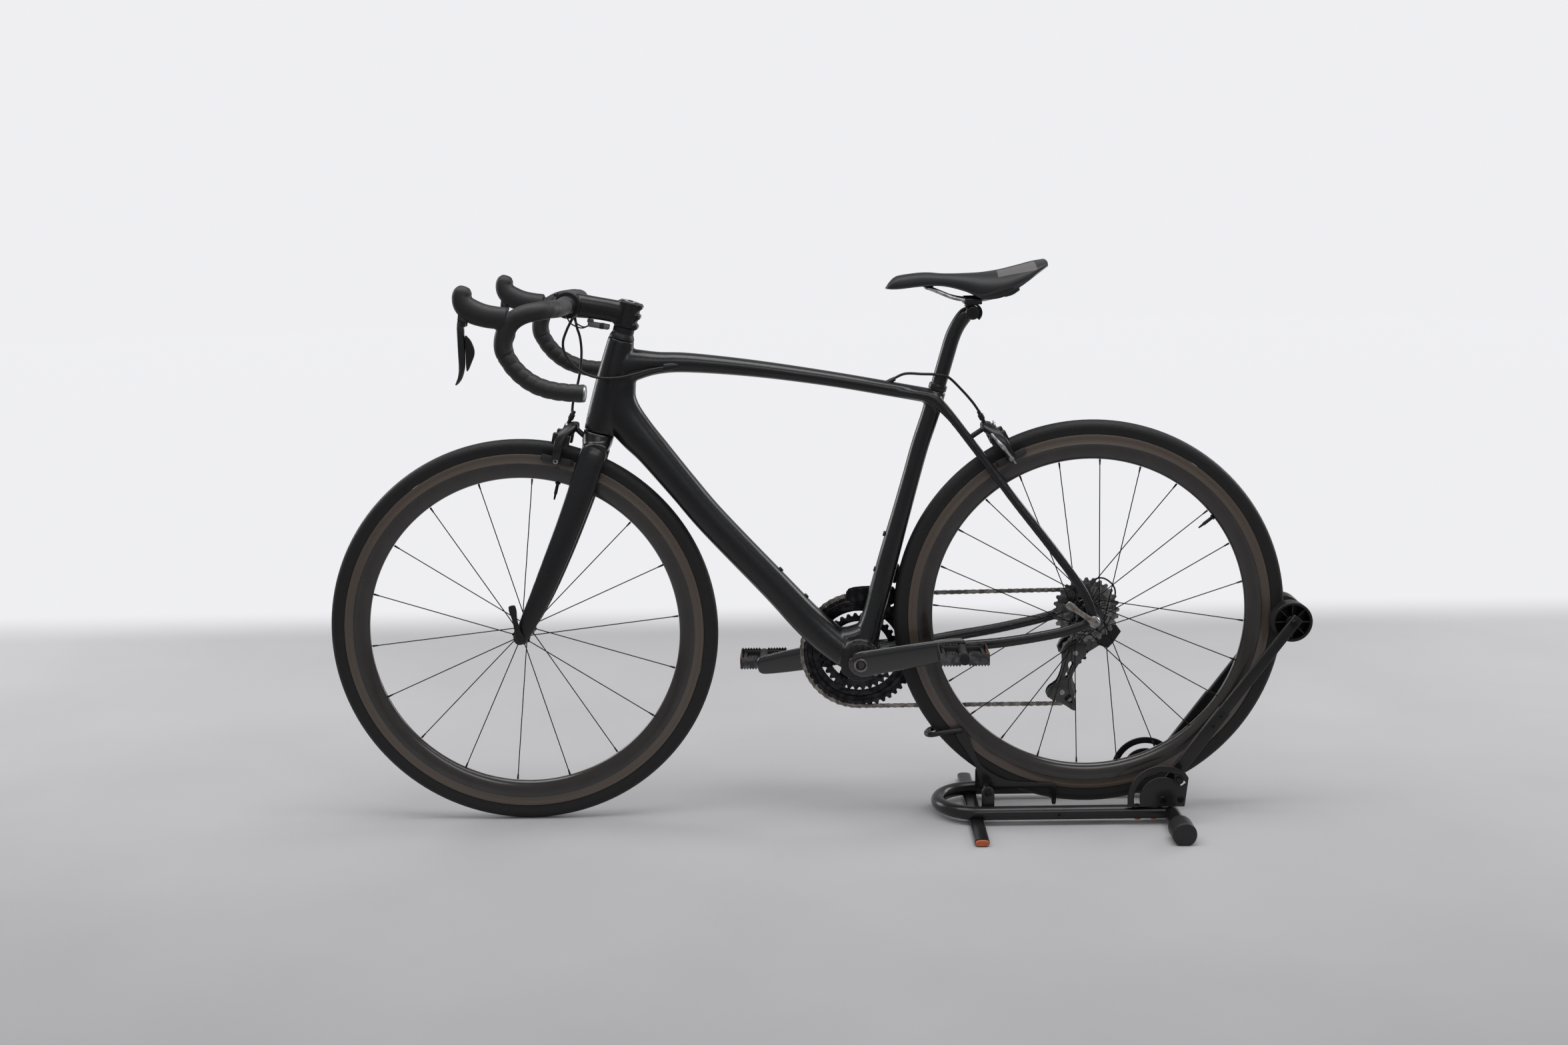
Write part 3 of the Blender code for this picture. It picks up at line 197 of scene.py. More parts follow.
def node(made, kind, settings=None, **inputs):
    """A new node; an input is a value or an output socket of another node."""
    added = made.node_tree.nodes.new(kind)
    for key, value in (settings or {}).items():
        setattr(added, key, value)
    for key, value in inputs.items():
        socket = added.inputs[int(key[1:])] if key[0] == "i" and key[1:].isdigit() else \
            added.inputs[key.replace("_", " ")]
        if isinstance(value, bpy.types.NodeSocket):
            made.node_tree.links.new(value, socket)
        else:
            socket.default_value = value
    return added


def object_coords(made):
    """Places measured from a piece's own origin."""
    return node(made, "ShaderNodeTexCoord").outputs["Object"]


def split_coords(made):
    return node(made, "ShaderNodeSeparateXYZ", Vector=object_coords(made)).outputs


def cells(made, scale):
    """Distance from the middle of each of many small cells."""
    return node(made, "ShaderNodeTexVoronoi", Scale=scale,
                Vector=object_coords(made)).outputs["Distance"]


def maths(made, operation, first, second=0.0):
    return node(made, "ShaderNodeMath", {"operation": operation}, i0=first, i1=second).outputs[0]


def times(made, first, second):
    return maths(made, "MULTIPLY", first, second)


def inverse(made, value):
    return maths(made, "SUBTRACT", 1.0, value)


def remapped(made, value, source, target):
    """A value carried from one range into another."""
    return node(made, "ShaderNodeMapRange", Value=value, From_Min=source[0], From_Max=source[1],
                To_Min=target[0], To_Max=target[1]).outputs[0]


def shader_of(made):
    return made.node_tree.nodes["Principled BSDF"]


def colour_mix(made, factor, low, high):
    """A colour between two others, by a factor from 0 to 1."""
    mix = node(made, "ShaderNodeMix", {"data_type": "RGBA"})
    for socket, value in ((mix.inputs[0], factor), (mix.inputs[6], low), (mix.inputs[7], high)):
        if isinstance(value, bpy.types.NodeSocket):
            made.node_tree.links.new(value, socket)
        else:
            socket.default_value = (*value, 1.0) if isinstance(value, tuple) else value
    return mix.outputs[2]


def set_colour(made, socket):
    made.node_tree.links.new(socket, shader_of(made).inputs["Base Color"])


def set_roughness(made, socket):
    made.node_tree.links.new(socket, shader_of(made).inputs["Roughness"])


def add_bump(made, height, strength, distance=0.001):
    """Adds a bump over any bump that the shader already has."""
    shader = shader_of(made)
    bump = node(made, "ShaderNodeBump", Strength=strength, Distance=distance, Height=height)
    before = shader.inputs["Normal"].links
    if before:
        made.node_tree.links.new(before[0].from_socket, bump.inputs["Normal"])
    made.node_tree.links.new(bump.outputs["Normal"], shader.inputs["Normal"])


def noise(made, scale, detail, vector=None):
    return node(made, "ShaderNodeTexNoise", Scale=scale, Detail=detail,
                Vector=vector or object_coords(made)).outputs["Fac"]


def grain(made, scale, colour_swing=0.25, rough_swing=0.06, bump=0.15, distance=0.0003):
    """Cloudy variation of the colour and roughness, and a fine bump."""
    shader = shader_of(made)
    colour = tuple(shader.inputs["Base Color"].default_value)[:3]
    cloud = noise(made, scale * 0.12, 3.0)
    dark = tuple(c * (1 - colour_swing) for c in colour)
    light = tuple(min(1.0, c * (1 + colour_swing)) for c in colour)
    set_colour(made, colour_mix(made, cloud, dark, light))
    rough = shader.inputs["Roughness"].default_value
    limits = (max(0.02, rough - rough_swing), min(1.0, rough + rough_swing))
    set_roughness(made, remapped(made, noise(made, scale * 0.3, 5.0), NOISE_RANGE, limits))
    add_bump(made, noise(made, scale, 6.0), bump, distance)
    return made


def polar(made):
    """Radius and angle about the y axis, from the object's own origin."""
    x, y, z = split_coords(made)
    radius = maths(made, "SQRT", maths(made, "ADD", times(made, x, x),
                                       times(made, z, z)))
    return radius, maths(made, "ARCTAN2", z, x), y


def step_up(made, value, low, high):
    """0 below low, 1 above high, smooth between."""
    return node(made, "ShaderNodeMapRange", {"interpolation_type": "SMOOTHSTEP"}, Value=value,
                From_Min=low, From_Max=high).outputs[0]


# ---- materials ----
def rim_material():
    """Bronze-tinted brake track, then dark dimpled carbon under clear gloss."""
    made = material("rim carbon", (0.03, 0.022, 0.017), 0.3, coat=0.55, coat_roughness=0.12)
    radius, angle, across = polar(made)
    track = step_up(made, radius, TRACK_INNER_R - 0.0004, TRACK_INNER_R + 0.0004)
    streaks = node(made, "ShaderNodeCombineXYZ", X=times(made, angle, 60.0),
                   Y=times(made, radius, 900.0), Z=across).outputs[0]
    fibre = noise(made, 3.0, 5.0, streaks)
    track_colour = colour_mix(made, fibre, (0.03, 0.021, 0.015), (0.115, 0.085, 0.064))
    cloud = noise(made, 45.0, 5.0)
    body_colour = colour_mix(made, cloud, (0.006, 0.005, 0.0045), (0.026, 0.02, 0.016))
    set_colour(made, colour_mix(made, track, body_colour, track_colour))
    set_roughness(made, remapped(made, track, (0.0, 1.0), (0.24, 0.42)))
    around = maths(made, "SINE", times(made, angle, 560.0))
    outwards = maths(made, "SINE", times(made, radius, 2400.0))
    band = times(made, inverse(made, track),
                 step_up(made, radius, TRACK_INNER_R - 0.012, TRACK_INNER_R - 0.005))
    dimples = times(made, times(made, around, outwards), band)
    add_bump(made, dimples, 0.45, 0.0006)
    add_bump(made, fibre, 0.1, 0.0003)
    return made


def tyre_material():
    """Matte rubber with fine mould lines on its sides."""
    made = material("tyre rubber", (0.0115, 0.0115, 0.0125), 0.55, specular=0.3)
    grain(made, 900.0, 0.2, 0.08, 0.25, 0.0003)
    radius, angle, across = polar(made)
    ribs = maths(made, "SINE", times(made, radius, 5200.0))
    side = inverse(made, step_up(made, radius, 0.33, 0.3325))
    add_bump(made, times(made, ribs, side), 0.18, 0.0003)
    lean = times(made, maths(made, "ABSOLUTE", across), 1500.0)
    sipes = maths(made, "SINE", maths(made, "ADD", times(made, angle, 420.0), lean))
    band = times(made, step_up(made, radius, 0.33, 0.3318),
                 inverse(made, step_up(made, radius, 0.3345, 0.3352)))
    cut = times(made, step_up(made, sipes, 0.8, 0.92), band)
    add_bump(made, inverse(made, cut), 0.6, 0.0004)
    return made


def tape_material():
    """Soft cork tape: pores and a fine leather grain."""
    made = material("bar tape", (0.013, 0.013, 0.014), 0.5, sheen=0.06, specular=0.4)
    grain(made, 700.0, 0.25, 0.08, 0.25, 0.0004)
    add_bump(made, step_up(made, cells(made, 330.0), 0.05, 0.3), 0.35, 0.0004)
    return made


def hood_material():
    """Moulded rubber with a fine raised diamond pattern on its sides."""
    made = material("hood rubber", (0.012, 0.012, 0.013), 0.52, specular=0.4)
    grain(made, 800.0, 0.2, 0.06, 0.15, 0.0003)
    x, _, z = split_coords(made)
    one = maths(made, "SINE", times(made, maths(made, "ADD", x, z), 2600.0))
    other = maths(made, "SINE", times(made, maths(made, "SUBTRACT", x, z), 2600.0))
    add_bump(made, times(made, one, other), 0.15, 0.0003)
    return made


def saddle_material():
    """Microfibre cover with a grey reflective patch over the rear wings."""
    made = material("saddle cover", (0.0085, 0.0088, 0.01), 0.46, sheen=0.04, specular=0.3)
    grain(made, 1200.0, 0.15, 0.05, 0.2, 0.0003)
    x, y, z = split_coords(made)
    rear = times(made, step_up(made, x, 0.3085, 0.3095),
                 inverse(made, step_up(made, x, 0.37, 0.371)))
    height = maths(made, "SUBTRACT", z, times(made, x, 0.2))
    out = times(made, step_up(made, height, 0.8737, 0.8743),
                step_up(made, maths(made, "ABSOLUTE", y), 0.015, 0.016))
    patch = times(made, rear, out)
    grey = colour_mix(made, cells(made, 1500.0), (0.06, 0.057, 0.055), (0.12, 0.115, 0.112))
    before = shader_of(made).inputs["Base Color"].links[0].from_socket
    set_colour(made, colour_mix(made, patch, before, grey))
    return made


def metal_material(name, colour, roughness, swing=0.1):
    """Machined or stamped metal with fine streaks and a little grime."""
    made = material(name, colour, roughness, metallic=1.0)
    grime = noise(made, 90.0, 6.0)
    dark = tuple(c * 0.45 for c in colour)
    set_colour(made, colour_mix(made, step_up(made, grime, 0.4, 0.62), dark, colour))
    limits = (max(0.03, roughness - swing), roughness + swing)
    set_roughness(made, remapped(made, noise(made, METAL_GRAIN, 5.0), NOISE_RANGE, limits))
    add_bump(made, noise(made, METAL_GRAIN * 1.5, 4.0), 0.08, 0.0002)
    return made


def floor_material():
    """Pale concrete with painted light, darker near the camera and lighter towards the backdrop,
    turning into a white backdrop behind the bicycle.
    """
    made = material("studio floor", (0.5, 0.5, 0.5), 0.7, specular=0.1)
    _, y, _ = split_coords(made)
    fade = step_up(made, y, BACKDROP_Y - 0.12, BACKDROP_Y + 0.25)
    cloud = noise(made, 2.2, 5.0)
    # painted light: the floor colour is painted darker near the camera and lighter towards the backdrop
    depth = step_up(made, y, -2.2, 1.4)
    dark = colour_mix(made, depth, (0.3, 0.295, 0.3), (0.46, 0.455, 0.465))
    light = colour_mix(made, depth, (0.37, 0.365, 0.37), (0.54, 0.535, 0.545))
    near = colour_mix(made, cloud, dark, light)
    set_colour(made, colour_mix(made, fade, near, (0.0, 0.0, 0.0)))
    shader = shader_of(made)
    shader.inputs["Emission Color"].default_value = (0.848, 0.848, 0.875, 1)
    made.node_tree.links.new(fade, shader.inputs["Emission Strength"])
    return made


CARBON = grain(material("satin carbon", (0.005, 0.0052, 0.0062), 0.3, coat=0.22,
                        coat_roughness=0.2, specular=0.4), 600.0, 0.2, 0.05, 0.06, 0.0002)
RIM = rim_material()
TYRE = tyre_material()
TAPE = tape_material()
RUBBER = hood_material()
SADDLE = saddle_material()
GLOSS = grain(material("gloss black", (0.007, 0.007, 0.008), 0.16, coat=0.8,
                       coat_roughness=0.05), 250.0, 0.2, 0.04, 0.05, 0.0003)
SHELL = grain(material("gloss shell", (0.012, 0.012, 0.013), 0.24, coat=0.5), 300.0, 0.2, 0.05,
              0.05, 0.0003)
STEM_BLACK = grain(material("satin alloy black", (0.008, 0.008, 0.009), 0.3, specular=0.4),
                   700.0, 0.2, 0.06, 0.1, 0.0002)
SPOKE = metal_material("black spoke steel", (0.035, 0.035, 0.037), 0.34, 0.08)
CHROME = metal_material("polished metal", (0.58, 0.58, 0.59), 0.13, 0.05)
SILVER = metal_material("bead-blasted alloy", (0.52, 0.52, 0.53), 0.36, 0.08)
CHAIN = metal_material("chain steel", (0.33, 0.305, 0.28), 0.34, 0.1)
RING = metal_material("dark anodised alloy", (0.04, 0.04, 0.043), 0.34, 0.08)
CAGE = metal_material("grey alloy", (0.15, 0.15, 0.155), 0.4, 0.08)
COGS = metal_material("cog steel", (0.27, 0.265, 0.26), 0.3, 0.1)
POWDER = grain(material("powder coat", (0.007, 0.007, 0.0078), 0.34, coat=0.4,
                        coat_roughness=0.16, specular=0.25), 420.0, 0.2, 0.06, 0.14, 0.0002)
PLASTIC = grain(material("black plastic", (0.0085, 0.0085, 0.0092), 0.42, specular=0.35), 900.0,
                0.2, 0.06, 0.2, 0.0003)
GREY_PLASTIC = grain(material("grey plastic", (0.105, 0.105, 0.11), 0.45), 700.0, 0.2, 0.06, 0.2,
                     0.0003)
PAD_RUBBER = grain(material("brake rubber", (0.02, 0.02, 0.021), 0.7), 700.0, 0.3, 0.05, 0.3,
                   0.0003)
FOOT_RUBBER = grain(material("foot rubber", (0.014, 0.014, 0.015), 0.5, specular=0.4), 500.0,
                    0.25, 0.06, 0.3, 0.0004)
ORANGE = grain(material("orange plastic", (0.42, 0.095, 0.028), 0.42), 500.0, 0.2, 0.05, 0.15,
               0.0003)
REFLECTOR = grain(material("amber reflector", (0.55, 0.16, 0.02), 0.18, coat=0.6), 300.0, 0.15,
                  0.04, 0.1, 0.0003)


# ---- mesh tools ----
def smooth_span(a, b, c, d, steps):
    """Rows on a smooth curve from b up to c; a and d are the neighbours."""
    return [0.5 * (2 * b + (c - a) * t + (2 * a - 5 * b + 4 * c - d) * t ** 2
                   + (3 * b - a - 3 * c + d) * t ** 3)
            for t in (step / steps for step in range(steps))]


def smooth_rows(rows, steps=5):
    """Rows of numbers along a smooth curve through the given rows."""
    rows = [Vector(row) for row in rows]
    ends = [2 * rows[0] - rows[1], *rows, 2 * rows[-1] - rows[-2]]
    path = []
    for k in range(len(rows) - 1):
        path += smooth_span(*ends[k:k + 4], steps)
    return [*path, rows[-1]]


def smooth_closed(points, steps=4):
    """A smooth closed outline through the given points."""
    rows = [Vector(point) for point in (points[-1], *points, *points[:2])]
    curve = []
    for k in range(len(points)):
        curve += smooth_span(*rows[k:k + 4], steps)
    return [tuple(spot) for spot in curve]


def join_rings(bm, rings):
    """Faces between neighbouring rings of vertices, and over both ends."""
    for near, far in zip(rings, rings[1:]):
        for k in range(len(near)):
            after = (k + 1) % len(near)
            bm.faces.new((near[k], near[after], far[after], far[k]))
    bm.faces.new(rings[0])
    bm.faces.new(rings[-1])


def oval(bm, centre, up, side, height, width, sides, power):
    """A ring of vertices; a power above 2 squares the oval off."""
    ring = []
    for step in range(sides):
        angle = FULL_TURN * step / sides
        cos, sin = math.cos(angle), math.sin(angle)
        rise = math.copysign(abs(sin) ** (2 / power), sin) * height
        run = math.copysign(abs(cos) ** (2 / power), cos) * width
        ring.append(bm.verts.new(centre + up * rise + side * run))
    return ring


def add_loft(bm, stations, sides=24, power=2.0, across=(0, 1, 0), steps=5, dome=0.0):
    """A solid through oval sections: each station is (x, y, z, half height, half width).

    dome rounds both ends over that length.
    """
    rows = smooth_rows(stations, steps)
    centres = [Vector(row[:3]) for row in rows]
    travels = [(centres[min(k + 1, len(rows) - 1)] - centres[max(k - 1, 0)]).normalized()
               for k in range(len(rows))]
    sections = [(centres[k], travels[k], rows[k][3], rows[k][4]) for k in range(len(rows))]
    for end, way in ((0, -1), (-1, 1)) if dome else ():
        centre, travel, height, width = sections[end]
        cap = [(centre + travel * way * dome * math.sin(a), travel, height * math.cos(a),
                width * math.cos(a)) for a in map(math.radians, (25, 50, 75))]
        sections = [*cap[::-1], *sections] if way < 0 else [*sections, *cap]
    rings = []
    for centre, travel, height, width in sections:
        side = Vector(across)
        side = (side - travel * side.dot(travel)).normalized()
        rings.append(oval(bm, centre, travel.cross(side), side, height, width, sides, power))
    join_rings(bm, rings)


def add_tube(bm, path, radius, sides=12, shape=None):
    """A round tube along a path; shape(distance, angle) may scale its radius."""
    path = [Vector(p) for p in path]
    reference = (path[1] - path[0]).normalized().orthogonal().normalized()
    rings = []
    distance = 0.0
    for k in range(len(path)):
        travel = (path[min(k + 1, len(path) - 1)] - path[max(k - 1, 0)]).normalized()
        reference = (reference - travel * reference.dot(travel)).normalized()
        side = travel.cross(reference)
        if k:
            distance += (path[k] - path[k - 1]).length
        ring = []
        for step in range(sides):
            angle = FULL_TURN * step / sides
            reach = radius * (shape(distance, angle) if shape else 1.0)
            ring.append(bm.verts.new(path[k] + (reference * math.cos(angle)
                                                + side * math.sin(angle)) * reach))
        rings.append(ring)
    join_rings(bm, rings)


def add_lathe(bm, centre, profile, steps=64, axis=(0, 1, 0), ring=False, shape=None):
    """A solid turned about an axis through centre, from (radius, distance along it) points.

    ring closes the outline on itself; shape(index, angle) may scale a point's radius.
    """
    turn = Vector((0, 1, 0)).rotation_difference(Vector(axis)).to_matrix()
    centre = Vector(centre)
    rings = []
    for step in range(steps):
        angle = FULL_TURN * step / steps
        row = []
        for index, (radius, y) in enumerate(profile):
            reach = radius * (shape(index, angle) if shape else 1.0)
            row.append(bm.verts.new(centre + turn @ Vector((reach * math.cos(angle), y,
                                                            reach * math.sin(angle)))))
        rings.append(row)
    count = len(profile)
    spans = count if ring else count - 1
    for step in range(steps):
        near, far = rings[step], rings[(step + 1) % steps]
        for k in range(spans):
            after = (k + 1) % count
            bm.faces.new((near[k], near[after], far[after], far[k]))
    if not ring:
        bm.faces.new([row[0] for row in rings])
        bm.faces.new([row[-1] for row in rings])


def add_rod(bm, start, end, radius, sides=24, end_radius=None, edge=0.0006):
    """A round bar or cone with softened ends."""
    start, end = Vector(start), Vector(end)
    axis = end - start
    length = axis.length
    last = radius if end_radius is None else end_radius
    edge = min(edge, length / 3, radius / 2)
    profile = [(radius - edge, 0), (radius, edge), (last, length - edge), (last - edge, length)]
    add_lathe(bm, start, profile, sides, axis.normalized())


def add_pin(bm, centre, first_y, last_y, radius, sides=24, **shape):
    """A rod across the bicycle, from one y value to another."""
    x, _, z = centre
    add_rod(bm, (x, first_y, z), (x, last_y, z), radius, sides, **shape)


def add_mesh(bm, mesh, matrix):
    """Moves a temporary mesh and adds its faces."""
    mesh.transform(matrix)
    bm.from_mesh(mesh)
    bpy.data.meshes.remove(mesh)


def add_object(name, data):
    """A new object in the scene."""
    made = bpy.data.objects.new(name, data)
    bpy.context.scene.collection.objects.link(made)
    return made


def baked_mesh(made):
    """An object's mesh with its curve settings or modifiers worked out."""
    evaluated = made.evaluated_get(bpy.context.evaluated_depsgraph_get())
    return bpy.data.meshes.new_from_object(evaluated)


def add_box(bm, size, centre, turn=None, bevel=0.001, segments=2):
    """A block with rounded edges."""
    block = bmesh.new()
    bmesh.ops.create_cube(block, size=1.0)
    bmesh.ops.scale(block, vec=size, verts=block.verts)
    bmesh.ops.bevel(block, geom=block.edges[:], offset=min(bevel, min(size) * 0.45),
                    segments=segments, profile=0.5, affect="EDGES")
    mesh = bpy.data.meshes.new("temporary")
    block.to_mesh(mesh)
    block.free()
    matrix = Matrix.Translation(centre)
    add_mesh(bm, mesh, matrix @ turn.to_4x4() if turn else matrix)


def add_plate(bm, outline, low, high, holes=(), bevel=0.0005, resolution=2):
    """A flat sheet in the x-z plane between two y values, with softened edges and holes."""
    curve = bpy.data.curves.new("temporary", "CURVE")
    curve.dimensions = "2D"
    curve.fill_mode = "BOTH"
    curve.bevel_depth = bevel
    curve.bevel_resolution = resolution
    curve.extrude = abs(high - low) / 2 - bevel
    curve.offset = -bevel
    for loop in [outline, *holes]:
        spline = curve.splines.new("POLY")
        spline.points.add(len(loop) - 1)
        for point, (x, z) in zip(spline.points, loop):
            point.co = (x, z, 0, 1)
        spline.use_cyclic_u = True
    holder = add_object("temporary", curve)
    mesh = baked_mesh(holder)
    bpy.data.objects.remove(holder, do_unlink=True)
    upright = Matrix.Rotation(math.pi / 2, 4, "X")
    add_mesh(bm, mesh, Matrix.Translation((0, (low + high) / 2, 0)) @ upright)


def add_bolt(bm, place_at, axis, radius, height, socket=0.5):
    """A round bolt head with a hexagon socket; place_at is under the head."""
    def shape(index, angle):
        if index < 4:
            return 1.0
        return math.cos(math.pi / 6) / math.cos(angle % (math.pi / 3) - math.pi / 6)
    bottom = socket * radius
    profile = [(radius, 0), (radius, height * 0.75), (radius * 0.93, height), (radius * 0.7, height),
               (bottom, height), (bottom, height * 0.45), (bottom * 0.5, height * 0.45)]
    add_lathe(bm, place_at, profile, 24, Vector(axis).normalized(), shape=shape)


def outward(angle):
    """The direction at an angle in the x-z plane."""
    return Vector((math.cos(angle), 0, math.sin(angle)))


def from_polar(centre, points):
    """(x, z) points from (radius, angle) about a centre."""
    return [(centre.x + r * math.cos(a), centre.z + r * math.sin(a)) for r, a in points]


def circle_points(centre, radius, count=24):
    return from_polar(centre, [(radius, FULL_TURN * k / count) for k in range(count)])


def arc_points(centre, radius, first, last, count):
    """Points on an arc, from one angle in degrees to another."""
    return from_polar(centre, [(radius, math.radians(first + (last - first) * k / count))
                               for k in range(count + 1)])


def piece(name, bm, look, body, nodes=(), origin=None, angle=35):
    """A finished object that rides on a body and stands for CAD nodes."""
    bmesh.ops.remove_doubles(bm, verts=bm.verts, dist=0.000004)
    bmesh.ops.recalc_face_normals(bm, faces=bm.faces)
    mesh = bpy.data.meshes.new(name)
    if origin is not None:
        bmesh.ops.translate(bm, vec=-Vector(origin), verts=bm.verts)
    bm.to_mesh(mesh)
    bm.free()
    mesh.materials.append(look)
    mesh.shade_smooth()
    mesh.set_sharp_from_angle(angle=math.radians(angle))
    made = add_object(name, mesh)
    if origin is not None:
        made.location = origin
    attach(made, body)
    if nodes:
        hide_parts(*nodes)
    return made


def fused(name, bm, look, body, nodes=(), voxel=0.002, smoothing=8):
    """Like piece(), with its overlapping solids melted into one smooth skin."""
    made = piece(name, bm, look, body, nodes, angle=60)
    remesh = made.modifiers.new("melt", "REMESH")
    remesh.mode = "VOXEL"
    remesh.voxel_size = voxel
    soften = made.modifiers.new("soften", "SMOOTH")
    soften.factor = 0.5
    soften.iterations = smoothing
    mesh = baked_mesh(made)
    made.modifiers.clear()
    made.data = mesh
    mesh.materials.clear()
    mesh.materials.append(look)
    mesh.shade_smooth()
    return made


def along(start, direction, distance):
    return Vector(start) + Vector(direction) * distance


def on_side(stations, side):
    """The same stations on the given side of the bicycle."""
    return [(row[0], side * row[1], *row[2:]) for row in stations]


# ---- bicycle frame ----
DOWN_TUBE = [(-0.319, 0, 0.8, 0.02, 0.02), (-0.324, 0, 0.77, 0.0245, 0.021),
             (-0.329, 0, 0.74, 0.029, 0.022), (-0.323, 0, 0.71, 0.033, 0.023),
             (-0.302, 0, 0.68, 0.0315, 0.024), (-0.275, 0, 0.649, 0.0285, 0.0248),
             (-0.222, 0, 0.583, 0.0265, 0.025), (-0.173, 0, 0.523, 0.0265, 0.025),
             (-0.07, 0, 0.411, 0.0265, 0.026), (-0.01, 0, 0.345, 0.028, 0.029),
             (0.04, 0, 0.302, 0.029, 0.036), (0.07, 0, 0.285, 0.029, 0.038)]
TOP_TUBE = [(-0.335, 0, 0.79, 0.03, 0.02), (-0.306, 0, 0.796, 0.028, 0.0205),
            (-0.262, 0, 0.799, 0.019, 0.0205), (-0.207, 0, 0.7985, 0.0166, 0.02),
            (-0.098, 0, 0.787, 0.0143, 0.019), (0.024, 0, 0.7685, 0.0128, 0.0175),
            (0.133, 0, 0.7485, 0.0126, 0.016), (0.206, 0, 0.7345, 0.0126, 0.015)]
SEAT_TUBE = [(0.2105, 0, 0.745, 0.0156, 0.0158), (0.199, 0, 0.705, 0.0156, 0.0158),
             (0.1815, 0, 0.653, 0.0155, 0.016), (0.165, 0, 0.595, 0.0155, 0.0165),
             (0.147, 0, 0.531, 0.0163, 0.0175), (0.1285, 0, 0.466, 0.0178, 0.019),
             (0.113, 0, 0.409, 0.0183, 0.021), (0.098, 0, 0.355, 0.019, 0.026),
             (0.08, 0, 0.295, 0.025, 0.034)]
CHAIN_STAY = [(0.088, 0.022, 0.285, 0.015, 0.011), (0.12, 0.027, 0.29, 0.0125, 0.0085),
              (0.175, 0.0285, 0.2985, 0.0105, 0.0075), (0.24, 0.04, 0.308, 0.0098, 0.0075),
              (0.32, 0.054, 0.318, 0.0092, 0.0075), (0.4, 0.064, 0.333, 0.009, 0.0068),
              (0.44, 0.0675, 0.344, 0.009, 0.005), (0.464, 0.0685, 0.353, 0.008, 0.0032)]
SEAT_STAY = [(0.12, 0.0085, 0.748, 0.006, 0.0055), (0.175, 0.013, 0.74, 0.0085, 0.006),
             (0.203, 0.0155, 0.732, 0.01, 0.006), (0.222, 0.017, 0.714, 0.009, 0.006),
             (0.24, 0.02, 0.693, 0.008, 0.0058), (0.27, 0.0245, 0.653, 0.0078, 0.0058),
             (0.303, 0.03, 0.609, 0.0078, 0.0058), (0.34, 0.0395, 0.558, 0.0078, 0.0058),
             (0.39, 0.052, 0.493, 0.0078, 0.0058), (0.435, 0.062, 0.433, 0.0078, 0.0056),
             (0.458, 0.067, 0.395, 0.008, 0.0044), (0.468, 0.0685, 0.362, 0.009, 0.0032)]


def make_frame():
    """The one-piece frame: tubes, stays, shell and ends melted together."""
    bm = bmesh.new()
    add_loft(bm, DOWN_TUBE, 36, 2.3)
    add_loft(bm, TOP_TUBE, 36, 2.3)
    add_loft(bm, SEAT_TUBE, 36)
    head = [(*along(STEER_TOP, STEER_UP, d), r, r * 0.94) for d, r in
            ((-0.009, 0.0225), (-0.035, 0.024), (-0.09, 0.0265), (-0.14, 0.027), (-0.172, 0.0262))]
    add_loft(bm, head, 40)
    add_pin(bm, BB, -0.041, 0.041, 0.035, 48)
    add_loft(bm, [(0.034, 0, 0.32, 0.015, 0.026), (0.058, 0, 0.321, 0.0155, 0.027),
                  (0.084, 0, 0.33, 0.015, 0.024)], 24, dome=0.004)
    for side in (-1, 1):
        add_loft(bm, on_side(CHAIN_STAY, side), 20)
        add_loft(bm, on_side(SEAT_STAY, side), 20)
        outline = arc_points(REAR_AXLE, 0.0125, -110, 130, 16) + [(0.452, 0.358),
                                                                  (0.456, 0.344)]
        add_plate(bm, outline, side * 0.0653, side * 0.0712, bevel=0.0008)
    add_pin(bm, (0.264, 0, 0.662), -0.022, 0.022, 0.0065)
    fused("bicycle_frame", bm, CARBON, "frame", ["frame"], 0.002, 9)


def make_frame_fittings():
    """Bottle bosses, cable stop and bearing cups on the frame."""
    bm = bmesh.new()
    for tube, row, way, distances, depth in ((DOWN_TUBE, 8, -1, (-0.014, 0.05), 0.0262),
                                             (SEAT_TUBE, 5, 1, (-0.03, 0.034), 0.0168)):
        start = Vector(tube[row][:3])
        up = (start - Vector(tube[row + 1][:3])).normalized()
        out = Vector((-up.z, 0, up.x)) * way
        for distance in distances:
            add_bolt(bm, along(along(start, up, -distance), out, depth), out, 0.0046, 0.003)
    piece("bottle_bolts", bm, STEM_BLACK, "frame")
    bm = bmesh.new()
    for side in (-1, 1):
        start = Vector((BB.x, side * 0.0408, BB.z))
        profile = [(0.0158, 0), (0.0345, 0), (0.0345, 0.003), (0.032, 0.0046), (0.02, 0.0046),
                   (0.0185, 0.006), (0.0158, 0.006)]
        add_lathe(bm, start, profile, 48, (0, side, 0), ring=True,
                  shape=lambda i, a: 1 - 0.03 * (i == 2) * (math.sin(16 * a) > 0.3))
    piece("bearing_cups", bm, STEM_BLACK, "frame")
    bm = bmesh.new()
    add_loft(bm, [(-0.25, -0.0205, 0.793, 0.006, 0.0036), (-0.238, -0.019, 0.7945, 0.006, 0.004),
                  (-0.226, -0.018, 0.796, 0.0035, 0.0025)], 16, dome=0.002)
    add_loft(bm, [(0.123, 0, 0.759, 0.0032, 0.007), (0.131, 0, 0.762, 0.004, 0.006),
                  (0.139, 0, 0.766, 0.0036, 0.004)], 16, dome=0.001)
    piece("cable_ports", bm, PLASTIC, "frame")


def make_collar():
    """The clamp ring around the post."""
    bm = bmesh.new()
    low = along(SEAT_TOP, SEAT_UP, -0.002)
    profile = [(POST_R + 0.0003, 0), (0.0152, 0), (0.0156, 0.0008), (0.0156, 0.0088), (0.0152, 0.0096),
               (0.0142, 0.01), (POST_R + 0.0003, 0.01)]
    add_lathe(bm, low, profile, 48, SEAT_UP, ring=True)
    piece("seat_clamp_ring", bm, CARBON, "frame", ["seat_collar"])


